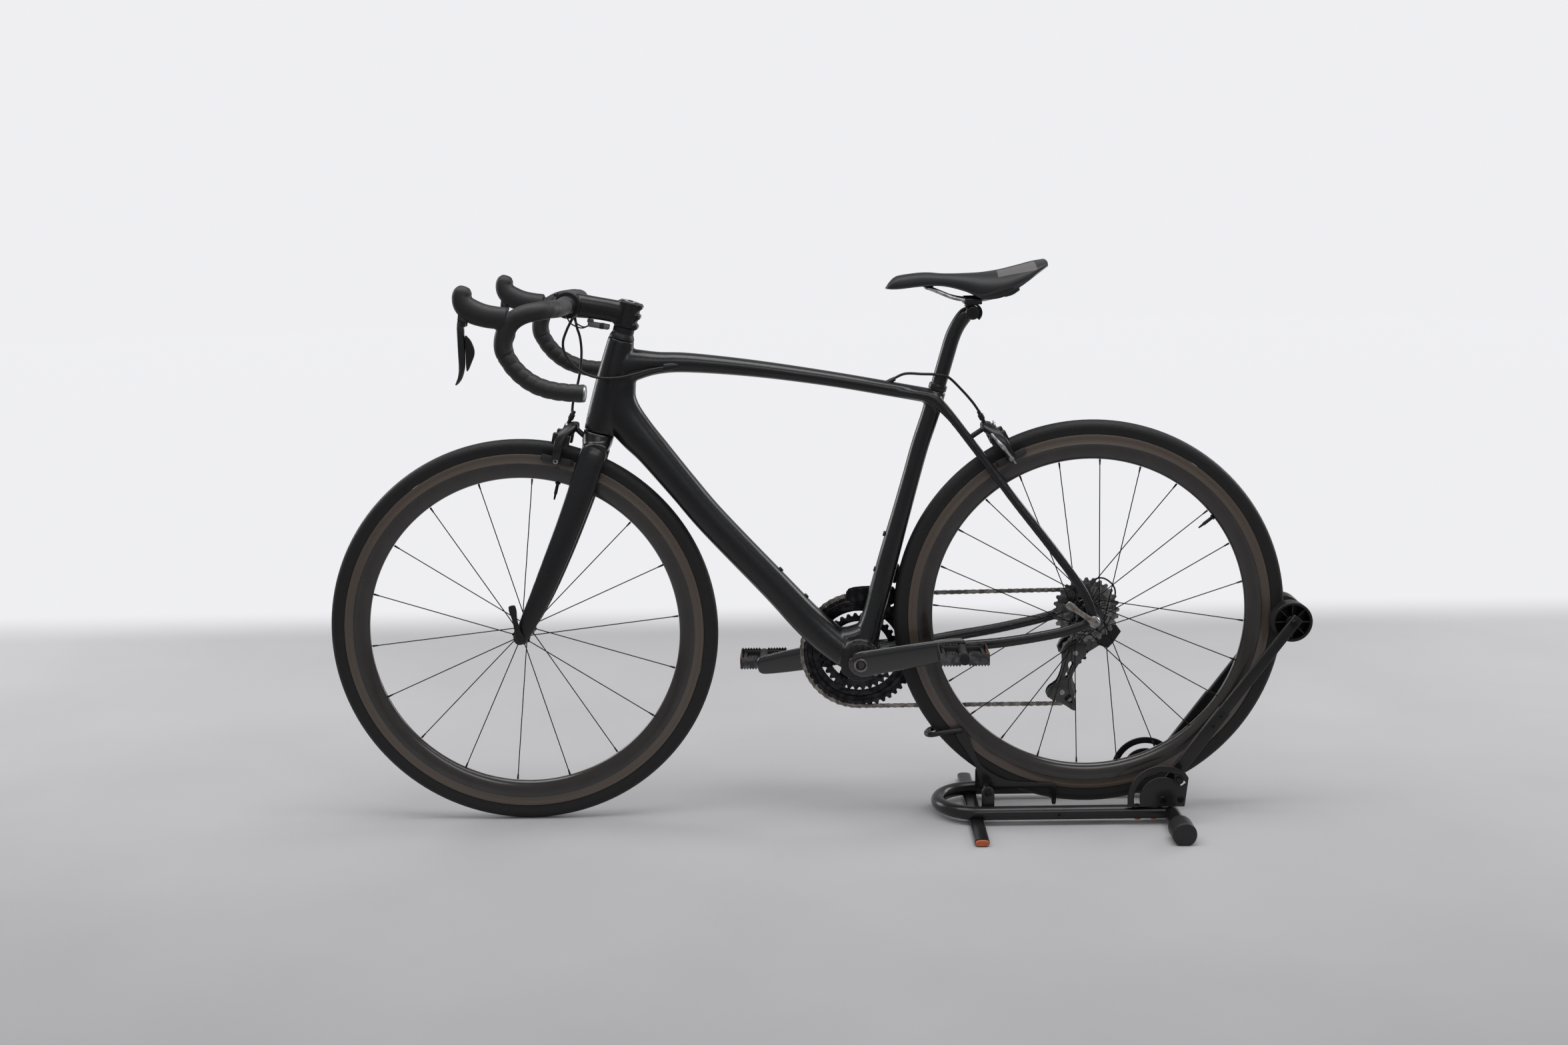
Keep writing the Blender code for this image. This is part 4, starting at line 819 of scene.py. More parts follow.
def make_seat_post():
    """A round post bent back under the saddle, with a two-bolt clamp head."""
    bm = bmesh.new()
    stations = [(*along(SEAT_TOP, SEAT_UP, d), POST_R, POST_R) for d in (-0.08, -0.02, 0.02)]
    stations += [(*along(SEAT_TOP, SEAT_UP, 0.06), POST_R, POST_R), (0.2365, 0, 0.834, POST_R, POST_R),
                 (0.246, 0, 0.8545, 0.0128, 0.0132), (0.2575, 0, 0.8705, 0.0128, 0.015),
                 (0.2655, 0, 0.8765, 0.0108, 0.016)]
    add_loft(bm, stations, 36)
    across = Vector((0, 0.018, 0))
    add_rod(bm, POST_HEAD - across, POST_HEAD + across, 0.012, 36, edge=0.0015)
    fused("seat_post_carbon", bm, CARBON, "seat_post", ["seat_post"], 0.0012, 6)
    bm = bmesh.new()
    for side in (-1, 1):
        add_bolt(bm, POST_HEAD + across * side, (0, side, 0), 0.0052, 0.0028)
    piece("post_head_bolts", bm, STEM_BLACK, "seat_post")


# ---- saddle ----
SADDLE_SECTIONS = [(0.1254, 0.9176, 0.9206, 0.0085), (0.1295, 0.9174, 0.9272, 0.0135),
                   (0.138, 0.9174, 0.9358, 0.0175), (0.15, 0.918, 0.9402, 0.0198),
                   (0.185, 0.9215, 0.944, 0.021), (0.22, 0.9215, 0.943, 0.024),
                   (0.255, 0.913, 0.943, 0.034), (0.285, 0.901, 0.944, 0.05),
                   (0.315, 0.904, 0.9475, 0.064), (0.345, 0.922, 0.954, 0.0715),
                   (0.37, 0.94, 0.96, 0.07), (0.39, 0.953, 0.9632, 0.056)]


def saddle_ring(bm, row):
    """One cross-section: a dome whose skirts reach down, with a hollow underside."""
    x, low, high, half = row
    under = max(low + 0.001, high - 0.015)
    angles = [math.pi * k / 28 for k in range(29)]
    ring = [(half * math.cos(a), low + (high - low) * math.sin(a) ** 0.62) for a in angles]
    for share, level in ((-0.93, 0.0), (-0.86, 0.3), (-0.7, 0.8), (-0.45, 1.0), (0.0, 1.0), (0.45, 1.0),
                         (0.7, 0.8), (0.86, 0.3), (0.93, 0.0)):
        ring.append((half * share, low + (under - low) * level + 0.0004))
    channel = 0.0035 * max(0.0, math.sin(math.pi * min(1.0, max(0.0, (x - 0.2) / 0.17))))
    dipped = []
    for y, z in ring:
        groove = math.exp(-(y / 0.0085) ** 2) * channel if z > high - 0.006 else 0.0
        dipped.append(bm.verts.new((x, y, z - groove)))
    return dipped


def make_saddle():
    """Padded cover, glossy shell, rails and clamp."""
    bm = bmesh.new()
    rows = smooth_rows(SADDLE_SECTIONS, 6)
    rings = [saddle_ring(bm, row) for row in rows]
    nose_x, low, high, _ = rows[0]
    middle = (low + high) / 2
    tips = [[bm.verts.new((nose_x - forward, v.co.y * share, middle + (v.co.z - middle) * share))
             for v in rings[0]] for forward, share in ((0.0012, 0.35), (0.0007, 0.8))]
    join_rings(bm, [*tips, *rings])
    cover = piece("saddle_cover", bm, SADDLE, "saddle", ["saddle_pad"], angle=70)
    make_saddle_shell(rows)
    make_saddle_metal()


def make_saddle_shell(rows):
    """The hard shell: a rim along the skirts, deeper under the rear wings."""
    bm = bmesh.new()
    for side in (-1, 1):
        rings = []
        for x, low, high, half in rows[8:]:
            depth = 0.0018 + 0.013 * math.exp(-((x - 0.312) / 0.03) ** 2)
            y = side * half
            points = [(y * 1.004, low + depth), (y * 1.01 + side * 0.0004, low + depth * 0.4),
                      (y * 0.985, low - 0.0004), (y * 0.9, low - 0.0002), (y * 0.9, low + 0.0012)]
            rings.append([bm.verts.new((x, py, pz)) for py, pz in points])
        join_rings(bm, rings)
    rings = []
    for x, low, high, half in smooth_rows(SADDLE_SECTIONS[3:10]):
        top = max(low, high - 0.0165) - 0.0012
        rings.append([bm.verts.new((x, share * half * 0.55, z)) for share, z in
                      ((1, top - 0.004), (1, top), (0, top), (-1, top), (-1, top - 0.004),
                       (0, top - 0.0046))])
    join_rings(bm, rings)
    piece("saddle_shell", bm, SHELL, "saddle", ["saddle_base"])


def make_saddle_metal():
    """Rails, rail sockets, cradle and clamp bolts."""
    side = [(0.33, 0.022, 0.909), (0.31, 0.022, 0.9035), (0.285, 0.022, 0.8985), (0.26, 0.022, 0.898),
            (0.237, 0.0205, 0.902), (0.219, 0.0175, 0.909), (0.201, 0.0125, 0.9165),
            (0.193, 0.006, 0.919)]
    other = [(x, -y, z) for x, y, z in reversed(side)]
    bm = bmesh.new()
    add_tube(bm, smooth_rows([*side, *other], 6), 0.0035, 16)
    piece("titanium_rails", bm, CHROME, "saddle", ["saddle_rails"])
    bm = bmesh.new()
    for y in (-0.022, 0.022):
        add_loft(bm, [(0.322, y, 0.9075, 0.0062, 0.0062), (0.333, y, 0.912, 0.0075, 0.0075),
                      (0.342, y, 0.919, 0.0085, 0.0085)], 16, dome=0.003)
    add_loft(bm, [(0.203, 0, 0.9205, 0.003, 0.013), (0.19, 0, 0.9225, 0.003, 0.011),
                  (0.182, 0, 0.924, 0.0025, 0.009)], 16, dome=0.002)
    piece("rail_sockets", bm, PLASTIC, "saddle")
    bm = bmesh.new()
    yoke = [*arc_points(POST_HEAD, 0.0126, 140, -50, 24), *arc_points(POST_HEAD, 0.0162, -50, 140, 24)]
    add_plate(bm, yoke, -0.016, 0.016, bevel=0.0008)
    add_box(bm, (0.03, 0.05, 0.006), (0.27, 0, 0.893), None, 0.0024, 4)
    for y in (-0.022, 0.022):
        add_rod(bm, (0.256, y, 0.8975), (0.284, y, 0.8975), 0.0058, 24, edge=0.0014)
    piece("rail_cradle", bm, STEM_BLACK, "saddle", ["saddle_clamp"])
    bm = bmesh.new()
    for x in (0.256, 0.284):
        add_bolt(bm, (x, 0, 0.8958), (0, 0, 1), 0.0048, 0.004)
    piece("rail_clamp_bolts", bm, SILVER, "saddle")


# ---- wheels ----
def make_tyre(end, axle):
    """A smooth-running tyre: round section with a slight crown and a bead line."""
    centre_r = TYRE_TOP_R - TYRE_R
    profile = [(RIM_OUTER_R + 0.0002, -0.0105), (RIM_OUTER_R + 0.0006, -0.0112)]
    for k in range(33):
        angle = math.radians(-100 + 200 * k / 32)
        profile.append((centre_r + TYRE_R * math.cos(angle), TYRE_R * math.sin(angle)))
    profile += [(RIM_OUTER_R + 0.0006, 0.0112), (RIM_OUTER_R + 0.0002, 0.0105)]
    bm = bmesh.new()
    add_lathe(bm, axle, profile, 160, ring=True)
    piece(end + "_tyre_rubber", bm, TYRE, end + "_wheel", [end + "_tyre"], axle)


def make_rim(end, axle):
    """A deep rim with a flat brake track, a wear groove and bulged carbon sides."""
    half = [(RIM_OUTER_R, 0.0105), (RIM_OUTER_R, 0.0112), (RIM_OUTER_R - 0.0008, 0.0122),
            (0.3095, 0.0124), (0.3055, 0.0124), (0.3053, 0.0122), (0.3051, 0.0124),
            (TRACK_INNER_R + 0.0002, 0.0124), (TRACK_INNER_R - 0.0003, 0.0127), (0.2945, 0.0127),
            (0.2915, 0.0124), (0.288, 0.0118), (0.284, 0.011), (0.28, 0.0099), (0.276, 0.0084),
            (0.2725, 0.0063), (0.27, 0.0038), (0.2692, 0.0018)]
    profile = half + [(RIM_INNER_R + 0.0001, 0.0)] + [(r, -y) for r, y in reversed(half)]
    bm = bmesh.new()
    add_lathe(bm, axle, profile, 192, ring=True)
    piece(end + "_carbon_rim", bm, RIM, end + "_wheel", [end + "_rim"], axle)


def make_valve(end, axle, degrees):
    """The valve stem inside the rim, with its cap and nut."""
    direction = outward(math.radians(degrees))
    bm = bmesh.new()
    add_rod(bm, along(axle, direction, RIM_INNER_R), along(axle, direction, 0.248), 0.0029, 16)
    add_rod(bm, along(axle, direction, 0.249), along(axle, direction, 0.238), 0.0022, 16,
            end_radius=0.0014)
    add_rod(bm, along(axle, direction, RIM_INNER_R), along(axle, direction, 0.266), 0.0048, 6)
    piece(end + "_valve", bm, SPOKE, end + "_wheel", (), axle)


def make_hub(end, axle, half, flanges):
    """A hub with spoke flanges, end caps and a raised barrel."""
    (left_y, flange_r), (right_y, right_r) = flanges
    middle = (left_y + right_y) / 2
    body = [(0.0045, -half + 0.0003), (0.008, -half + 0.0003), (0.0085, -half + 0.001),
            (0.0085, left_y - 0.0075), (0.0118, left_y - 0.006), (0.0122, left_y - 0.0022),
            (flange_r - 0.0006, left_y - 0.0018), (flange_r, left_y - 0.0012),
            (flange_r, left_y + 0.0012), (flange_r - 0.0006, left_y + 0.0018), (0.0135, left_y + 0.003),
            (0.0105, left_y + 0.011), (0.0098, middle), (0.0105, right_y - 0.011),
            (0.0135, right_y - 0.003), (right_r - 0.0006, right_y - 0.0018),
            (right_r, right_y - 0.0012), (right_r, right_y + 0.0012),
            (right_r - 0.0006, right_y + 0.0018), (0.0122, right_y + 0.0022),
            (0.0118, right_y + 0.0038), (0.0085, right_y + 0.005), (0.0085, half - 0.001),
            (0.008, half - 0.0003), (0.0045, half - 0.0003)]
    bm = bmesh.new()
    add_lathe(bm, axle, body, 64, ring=True)
    piece(end + "_hub_body", bm, GLOSS, end + "_wheel", [end + "_hub"], axle)
    bm = bmesh.new()
    for side in (-1, 1):
        add_lathe(bm, (axle.x, side * (half - 0.006), axle.z),
                  [(0.0078, -0.0006), (0.0089, -0.0006), (0.0089, 0.0006), (0.0078, 0.0006)],
                  48, ring=True)
    piece(end + "_hub_bands", bm, SILVER, end + "_wheel", (), axle)


def make_spokes(end, axle, flanges, count, crossing, phase):
    """Flattened spokes with elbows at the flanges and nipples at the rim."""
    bm = bmesh.new()
    for side, (flange_y, flange_r) in enumerate(flanges):
        for k in range(count // 2):
            rim_angle = FULL_TURN * (2 * k + side + phase) / count
            hub_angle = rim_angle + crossing * (1 if k % 2 else -1)
            y = flange_y + (0.0026 if k % 2 else -0.0026)
            start = along((axle.x, y, axle.z), outward(hub_angle), flange_r)
            rim_y = math.copysign(0.0015, flange_y)
            end_at = along((axle.x, rim_y, axle.z), outward(rim_angle), RIM_INNER_R - 0.0005)
            travel = (end_at - start).normalized()
            widths = ((0, SPOKE_R), (0.06, SPOKE_R), (0.12, 0.0005), (0.88, 0.0005), (0.93, SPOKE_R),
                      (1.0, SPOKE_R))
            add_loft(bm, [(*start.lerp(end_at, share), SPOKE_R, wide) for share, wide in widths],
                     10, steps=1)
            add_rod(bm, along(end_at, travel, -0.0105), end_at, 0.0012, 12, 0.0018)
            add_pin(bm, start, y + 0.0034, y - 0.0034, 0.0017, 12)
    piece(end + "_bladed_spokes", bm, SPOKE, end + "_wheel", [end + "_spokes"],
          axle)


FRONT_FLANGES = ((-0.036, 0.015), (0.036, 0.015))
REAR_FLANGES = ((-0.038, 0.022), (0.017, 0.022))


def make_wheels():
    """Both wheels; the rear one has more spokes, and they cross."""
    for end, axle in (("front", FRONT_AXLE), ("rear", REAR_AXLE)):
        make_tyre(end, axle)
        make_rim(end, axle)
    make_valve("front", FRONT_AXLE, 75.5)
    make_valve("rear", REAR_AXLE, 38)
    make_hub("front", FRONT_AXLE, FRONT_HUB_HALF, FRONT_FLANGES)
    make_hub("rear", REAR_AXLE, REAR_HUB_HALF, REAR_FLANGES)
    make_spokes("front", FRONT_AXLE, FRONT_FLANGES, 18, 0.0, 0.25)
    make_spokes("rear", REAR_AXLE, REAR_FLANGES, 24, math.radians(75), 0.75)


def make_release(name, body, pivot, direction, look, node_name):
    """A skewer's curved lever with its cam head."""
    side = math.copysign(1, pivot.y)
    bm = bmesh.new()
    rows = []
    for share, high, wide, lift in ((-0.1, 0.005, 0.003, 0), (0.05, 0.0066, 0.0036, 0.0001),
                                    (0.3, 0.0048, 0.0026, 0.0008), (0.6, 0.0046, 0.0022, 0.001),
                                    (0.85, 0.0066, 0.002, 0.0004), (1.0, 0.006, 0.0018, -0.0003)):
        spot = along(pivot, direction, 0.057 * share)
        rows.append((spot.x, pivot.y + side * lift, spot.z, high, wide))
    add_loft(bm, rows, 24, 2.6, dome=0.002)
    piece(name, bm, look, body, [node_name])


def make_skewers():
    """Lever cams and nuts on the steering and the frame, levers on their own bodies."""
    front = joint_point("front_release_lever")
    rear = joint_point("rear_release_lever")
    make_release("front_skewer_lever", "front_release", front,
                 Vector((-0.18, 0, 0.98)).normalized(), PLASTIC,
                 "front_quick_release")
    make_release("rear_skewer_lever", "rear_release", rear,
                 Vector((-0.813, 0, 0.582)).normalized(), CHAIN,
                 "rear_quick_release")
    spots = (("front", "steering", FRONT_AXLE, 0.0604, front.y + 0.004, 0.069, STEM_BLACK,
              "gloss_black"),
             ("rear", "frame", REAR_AXLE, 0.0714, rear.y + 0.0042, 0.079, SILVER,
              "polished_metal"))
    for end, body, axle, face, cam_y, nut_y, look, finish in spots:
        bm = bmesh.new()
        cam = [(0.0046, -face), (0.0098, -face), (0.0102, -face - 0.001), (0.0088, cam_y + 0.0006),
               (0.006, cam_y), (0.0046, cam_y)]
        nut = [(0.003, face), (0.0096, face), (0.0098, face + 0.001), (0.0072, nut_y - 0.001),
               (0.006, nut_y), (0.003, nut_y)]
        add_lathe(bm, axle, cam, 40, ring=True)
        add_lathe(bm, axle, nut, 40, ring=True,
                  shape=lambda i, a: 1 - 0.06 * (i in (2, 3)) * (math.sin(9 * a) > 0))
        piece(end + "_skewer_ends", bm, look, body)


# ---- fork and steering ----
def make_fork():
    """Crown and two deep blades that sweep forward to the axle."""
    blade = [(-0.37, 0.027, 0.656, 0.0215, 0.01), (-0.377, 0.031, 0.64, 0.0225, 0.011),
             (-0.394, 0.037, 0.59, 0.0227, 0.0105), (-0.418, 0.043, 0.528, 0.0214, 0.0098),
             (-0.441, 0.048, 0.473, 0.0203, 0.0088), (-0.47, 0.053, 0.407, 0.018, 0.0072),
             (-0.493, 0.055, 0.36, 0.015, 0.005), (-0.506, 0.0555, 0.334, 0.011, 0.0045)]
    crown = [(-0.371, -0.033, 0.656, 0.0105, 0.0222), (-0.369, -0.015, 0.662, 0.011, 0.0242),
             (-0.369, 0.015, 0.662, 0.011, 0.0242), (-0.371, 0.033, 0.656, 0.0105, 0.0222)]
    collar = [(*along(STEER_TOP, STEER_UP, distance), length, width) for distance, length, width in
              ((-0.1728, 0.0262, 0.025), (-0.184, 0.026, 0.0296), (-0.196, 0.0245, 0.0346))]
    bm = bmesh.new()
    for side in (-1, 1):
        add_loft(bm, on_side(blade, side), 28, 2.3, dome=0.002)
    add_loft(bm, crown, 28, across=(1, 0, 0))
    add_loft(bm, collar, 40)
    add_rod(bm, along(STEER_TOP, STEER_UP, -0.182), along(STEER_TOP, STEER_UP, 0.048), 0.0143,
            32)
    fused("fork_carbon", bm, CARBON, "steering", ["fork"], 0.0018, 7)


def make_headset():
    """A cone cover and three spacers."""
    bm = bmesh.new()
    rows = [(-0.0086, 0.0214), (-0.005, 0.0212), (0.0008, 0.0186), (0.001, 0.018), (0.0048, 0.018),
            (0.005, 0.0176), (0.0052, 0.018), (0.0098, 0.018), (0.01, 0.0176), (0.0102, 0.018),
            (0.0118, 0.018)]
    profile = [(0.0147, rows[0][0])] + [(r, d) for d, r in rows] + [(0.0147, rows[-1][0])]
    add_lathe(bm, STEER_TOP, profile, 64, STEER_UP, ring=True)
    piece("headset_cover", bm, PLASTIC, "steering", ["headset_spacers"])


def make_stem():
    """Forged stem: steerer clamp, extension, four-bolt face plate and a top cap."""
    low = along(STEER_TOP, STEER_UP, 0.0124)
    high = along(STEER_TOP, STEER_UP, 0.0556)
    rear = along(STEER_TOP, STEER_UP, 0.034)
    bm = bmesh.new()
    add_loft(bm, [(-0.398, 0, 0.899, 0.021, 0.0195), (-0.37, 0, 0.8945, 0.0192, 0.0162),
                  (-0.34, 0, 0.889, 0.019, 0.0156), (rear.x, 0, rear.z, 0.02, 0.018)],
             36, 2.6)
    add_rod(bm, low, high, 0.0196, 48, edge=0.0012)
    add_pin(bm, STEM_FRONT, -0.023, 0.023,
            0.023, 48, edge=0.0012)
    behind = Vector((STEER_UP.z, 0, -STEER_UP.x))
    clamp_steps = (0.0045, 0.0215, 0.0385)
    for distance in clamp_steps:
        spot = along(along(low, STEER_UP, distance), behind, 0.0175)
        add_pin(bm, spot, -0.0155, 0.0155, 0.0056)
    fused("stem_body", bm, STEM_BLACK, "steering", ["stem"], 0.0012, 4)
    bm = bmesh.new()
    for distance in clamp_steps:
        spot = along(along(low, STEER_UP, distance), behind, 0.018)
        for way in (-1, 1):
            add_bolt(bm, spot + Vector((0, way * 0.0153, 0)), (0, way, 0), 0.0036, 0.0024, 0.55)
    for y in (-0.0165, 0.0165):
        for rise in (-0.015, 0.015):
            face = STEM_FRONT + Vector((-0.0172, y, rise + 0.002))
            add_bolt(bm, face, (-1, 0, 0.15), 0.0036, 0.0044, 0.55)
    add_bolt(bm, along(high, STEER_UP, 0.0012), STEER_UP, 0.0044, 0.0016)
    piece("stem_bolts", bm, STEM_BLACK, "steering")
    bm = bmesh.new()
    add_lathe(bm, high, [(0.0001, -0.0004), (0.0168, -0.0004), (0.017, 0.0006), (0.016, 0.0016),
                         (0.0052, 0.0016)], 48, STEER_UP)
    piece("stem_cap", bm, GLOSS, "steering")


BAR_TOP = [(-0.41, 0.06, 0.9), (-0.41, 0.105, 0.9005), (-0.409, 0.15, 0.9015), (-0.414, 0.183, 0.9025),
           (-0.432, 0.206, 0.901), (-0.456, HOOD_Y, 0.896), (-0.476, HOOD_Y, 0.883),
           (-0.487, HOOD_Y, 0.862), (-0.4885, HOOD_Y, 0.842), (-0.481, HOOD_Y, 0.824),
           (-0.469, HOOD_Y, 0.8075), (-0.453, HOOD_Y, 0.793), (-0.435, HOOD_Y, 0.7825),
           (-0.413, HOOD_Y, 0.7755), (-0.389, HOOD_Y, 0.772), (-0.364, HOOD_Y, 0.77)]
WRAP_PITCH = 0.0165              # one turn of tape


def wrap_shape(distance, angle):
    """Each turn of tape rises over the edge of the turn before it."""
    phase = (distance / WRAP_PITCH + angle / FULL_TURN) % 1.0
    return 0.935 + 0.065 * math.sin(math.pi * phase) ** 0.6


def make_bars():
    """Bar, wrapped tape and end plugs."""
    bm = bmesh.new()
    add_pin(bm, STEM_FRONT, -0.0597, 0.0597,
            BAR_R, 48)
    piece("bar_middle", bm, STEM_BLACK, "steering", ["handlebar"])
    for side, letter in SIDES:
        bm = bmesh.new()
        path = smooth_rows([(x, side * y, z) for x, y, z in BAR_TOP], 18)
        add_tube(bm, path, TAPE_R, 40, wrap_shape)
        piece("tape_wrap_" + letter, bm, TAPE, "steering", ["bar_tape_" + letter],
              angle=60)
        bm = bmesh.new()
        add_pin(bm, (-0.41, 0, 0.9), side * 0.0597, side * 0.066, 0.015, 40)
        piece("tape_finish_" + letter, bm, PLASTIC, "steering")
        bm = bmesh.new()
        end = Vector(BAR_TOP[-1])
        end.y *= side
        out = Vector((1, 0, -0.08)).normalized()
        add_lathe(bm, end, [(0.0001, -0.001), (0.0135, -0.001), (0.014, 0.0006), (0.0128, 0.003),
                            (0.009, 0.004), (0.0001, 0.0042)], 40, out)
        piece("bar_plug_" + letter, bm, SILVER, "steering")


def make_hood(side, letter):
    """The rubber hood with its raised horn, melted over the bar's bend."""
    stations = [(-0.482, 0.891, 0.0172, 0.0155), (-0.5, 0.8925, 0.018, 0.0166),
                (-0.518, 0.896, 0.0184, 0.0172), (-0.535, 0.9025, 0.019, 0.017),
                (-0.547, 0.9125, 0.0176, 0.0162), (-0.5512, 0.925, 0.0156, 0.0148),
                (-0.548, 0.9345, 0.0138, 0.0128), (-0.5462, 0.9395, 0.01, 0.0095)]
    bm = bmesh.new()
    add_loft(bm, [(x, side * HOOD_Y, z, h, w) for x, z, h, w in stations], 32, 2.3, dome=0.003)
    path = smooth_rows([(x, side * y, z) for x, y, z in BAR_TOP[3:10]], 8)
    add_tube(bm, path[3:-4], TAPE_R + 0.0006, 32)
    fused("hood_rubber_" + letter, bm, RUBBER, "steering", ["hood_" + letter],
          0.0013, 7)
    bm = bmesh.new()
    top = [(-0.554, 0.878), (-0.558, 0.89), (-0.556, 0.904), (-0.549, 0.9), (-0.544, 0.888),
           (-0.546, 0.879)]
    for way in (-1, 1):
        low = side * HOOD_Y + way * 0.0072
        add_plate(bm, top, low, low + way * 0.0026, bevel=0.0006)
    add_pin(bm, (-0.554, 0, 0.885), side * HOOD_Y - 0.01, side * HOOD_Y + 0.01,
            0.0022, 16)
    piece("lever_bracket_" + letter, bm, GLOSS, "steering")


def make_lever(side, letter):
    """The lever blade: pinched at its pivot, flared and curved forward at its tip."""
    y = side * HOOD_Y
    rows = [(-0.5555, y, 0.8882, 0.0044, 0.0056), (-0.5553, y, 0.88, 0.0058, 0.0058),
            (-0.5552, y, 0.86, 0.006, 0.0058), (-0.5552, y, 0.835, 0.0058, 0.0058),
            (-0.5556, y, 0.815, 0.0052, 0.0058), (-0.5585, y, 0.801, 0.0042, 0.0058),
            (-0.5625, y, 0.7925, 0.003, 0.0054), (-0.5663, y, 0.7875, 0.0016, 0.004)]
    bm = bmesh.new()
    add_loft(bm, rows, 28, 2.6, dome=0.001)
    piece("lever_blade_" + letter, bm, GLOSS, "lever_" + letter,
          ["brake_lever_" + letter], angle=60)
    outline = smooth_closed([(-0.5486, 0.8634), (-0.5442, 0.862), (-0.5392, 0.855), (-0.535, 0.843),
                             (-0.5354, 0.833), (-0.54, 0.822), (-0.5452, 0.8108), (-0.5484, 0.8106),
                             (-0.5487, 0.837)], 4)
    bm = bmesh.new()
    add_plate(bm, outline, y - 0.0038, y + 0.0038, bevel=0.0014, resolution=4)
    piece("shift_buttons_" + letter, bm, PLASTIC, "paddle_" + letter,
          ["shift_paddle_" + letter])


def make_junction():
    """The wiring junction under the stem, with its rubber strap and two leads."""
    turn = Matrix.Rotation(math.radians(10), 3, "Y")
    bm = bmesh.new()
    centre = Vector((-0.36, 0, 0.864))
    add_box(bm, (0.036, 0.022, 0.0085), centre, turn, 0.0016)
    add_box(bm, (0.01, 0.013, 0.006), centre + turn @ Vector((-0.015, 0, 0.0055)), turn, 0.0012)
    piece("junction_case", bm, GREY_PLASTIC, "steering", ["junction_box"])
    bm = bmesh.new()
    add_box(bm, (0.008, 0.0226, 0.0092), centre + turn @ Vector((0.006, 0, 0)), turn, 0.001)
    piece("junction_strap", bm, RUBBER, "steering")
    bm = bmesh.new()
    for side in (-1, 1):
        path = [centre + Vector((-0.017, side * 0.006, 0.0)), (-0.388, side * 0.014, 0.861),
                (-0.402, side * 0.026, 0.868), (-0.4085, side * 0.04, 0.88),
                (-0.41, side * 0.052, 0.883)]
        add_tube(bm, smooth_rows(path, 8), LEAD_R, 10)
    piece("junction_leads", bm, PLASTIC, "steering")


REAR_CABLE_FRONT = [(-0.4, -0.03, 0.879), (-0.41, -0.033, 0.86), (-0.417, -0.035, 0.84),
                    (-0.415, -0.037, 0.822), (-0.404, -0.038, 0.805), (-0.384, -0.038, 0.788),
                    (-0.36, -0.037, 0.779), (-0.327, -0.035, 0.778), (-0.296, -0.032, 0.784),
                    (-0.274, -0.0285, 0.7895), (-0.25, -0.0215, 0.793)]
REAR_CABLE_BACK = [(0.133, 0.0, 0.764), (0.156, 0.0, 0.774), (0.184, -0.02, 0.775),
                   (0.207, -0.023, 0.774), (0.228, -0.021, 0.769), (0.25, -0.013, 0.748),
                   (0.27, -0.006, 0.725), (0.283, -0.003, 0.706)]
FRONT_CABLE = [(-0.404, 0.03, 0.879), (-0.401, 0.03, 0.86), (-0.396, 0.029, 0.842),
               (-0.394, 0.026, 0.818), (-0.396, 0.02, 0.79), (-0.401, 0.014, 0.764),
               (-0.409, 0.009, 0.735), (-0.412, 0.006, 0.708)]


def make_cables():
    """Brake housings; the front part of the rear one is unparented, with its placing baked into its
    mesh.
    """
    bm = bmesh.new()
    add_tube(bm, smooth_rows(REAR_CABLE_FRONT, 10), HOUSING_R, 14)
    crossing = piece("rear_brake_housing", bm, PLASTIC, "frame",
                     ["rear_cable_front"])
    crossing.parent = None
    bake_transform(crossing)
    for name, path, body, node_name in (("rear_brake_arch", REAR_CABLE_BACK, "frame",
                                         "rear_cable_back"),
                                        ("front_brake_housing", FRONT_CABLE, "steering",
                                         "front_cable")):
        bm = bmesh.new()
        add_tube(bm, smooth_rows(path, 10), HOUSING_R, 14)
        piece(name, bm, PLASTIC, body, [node_name])


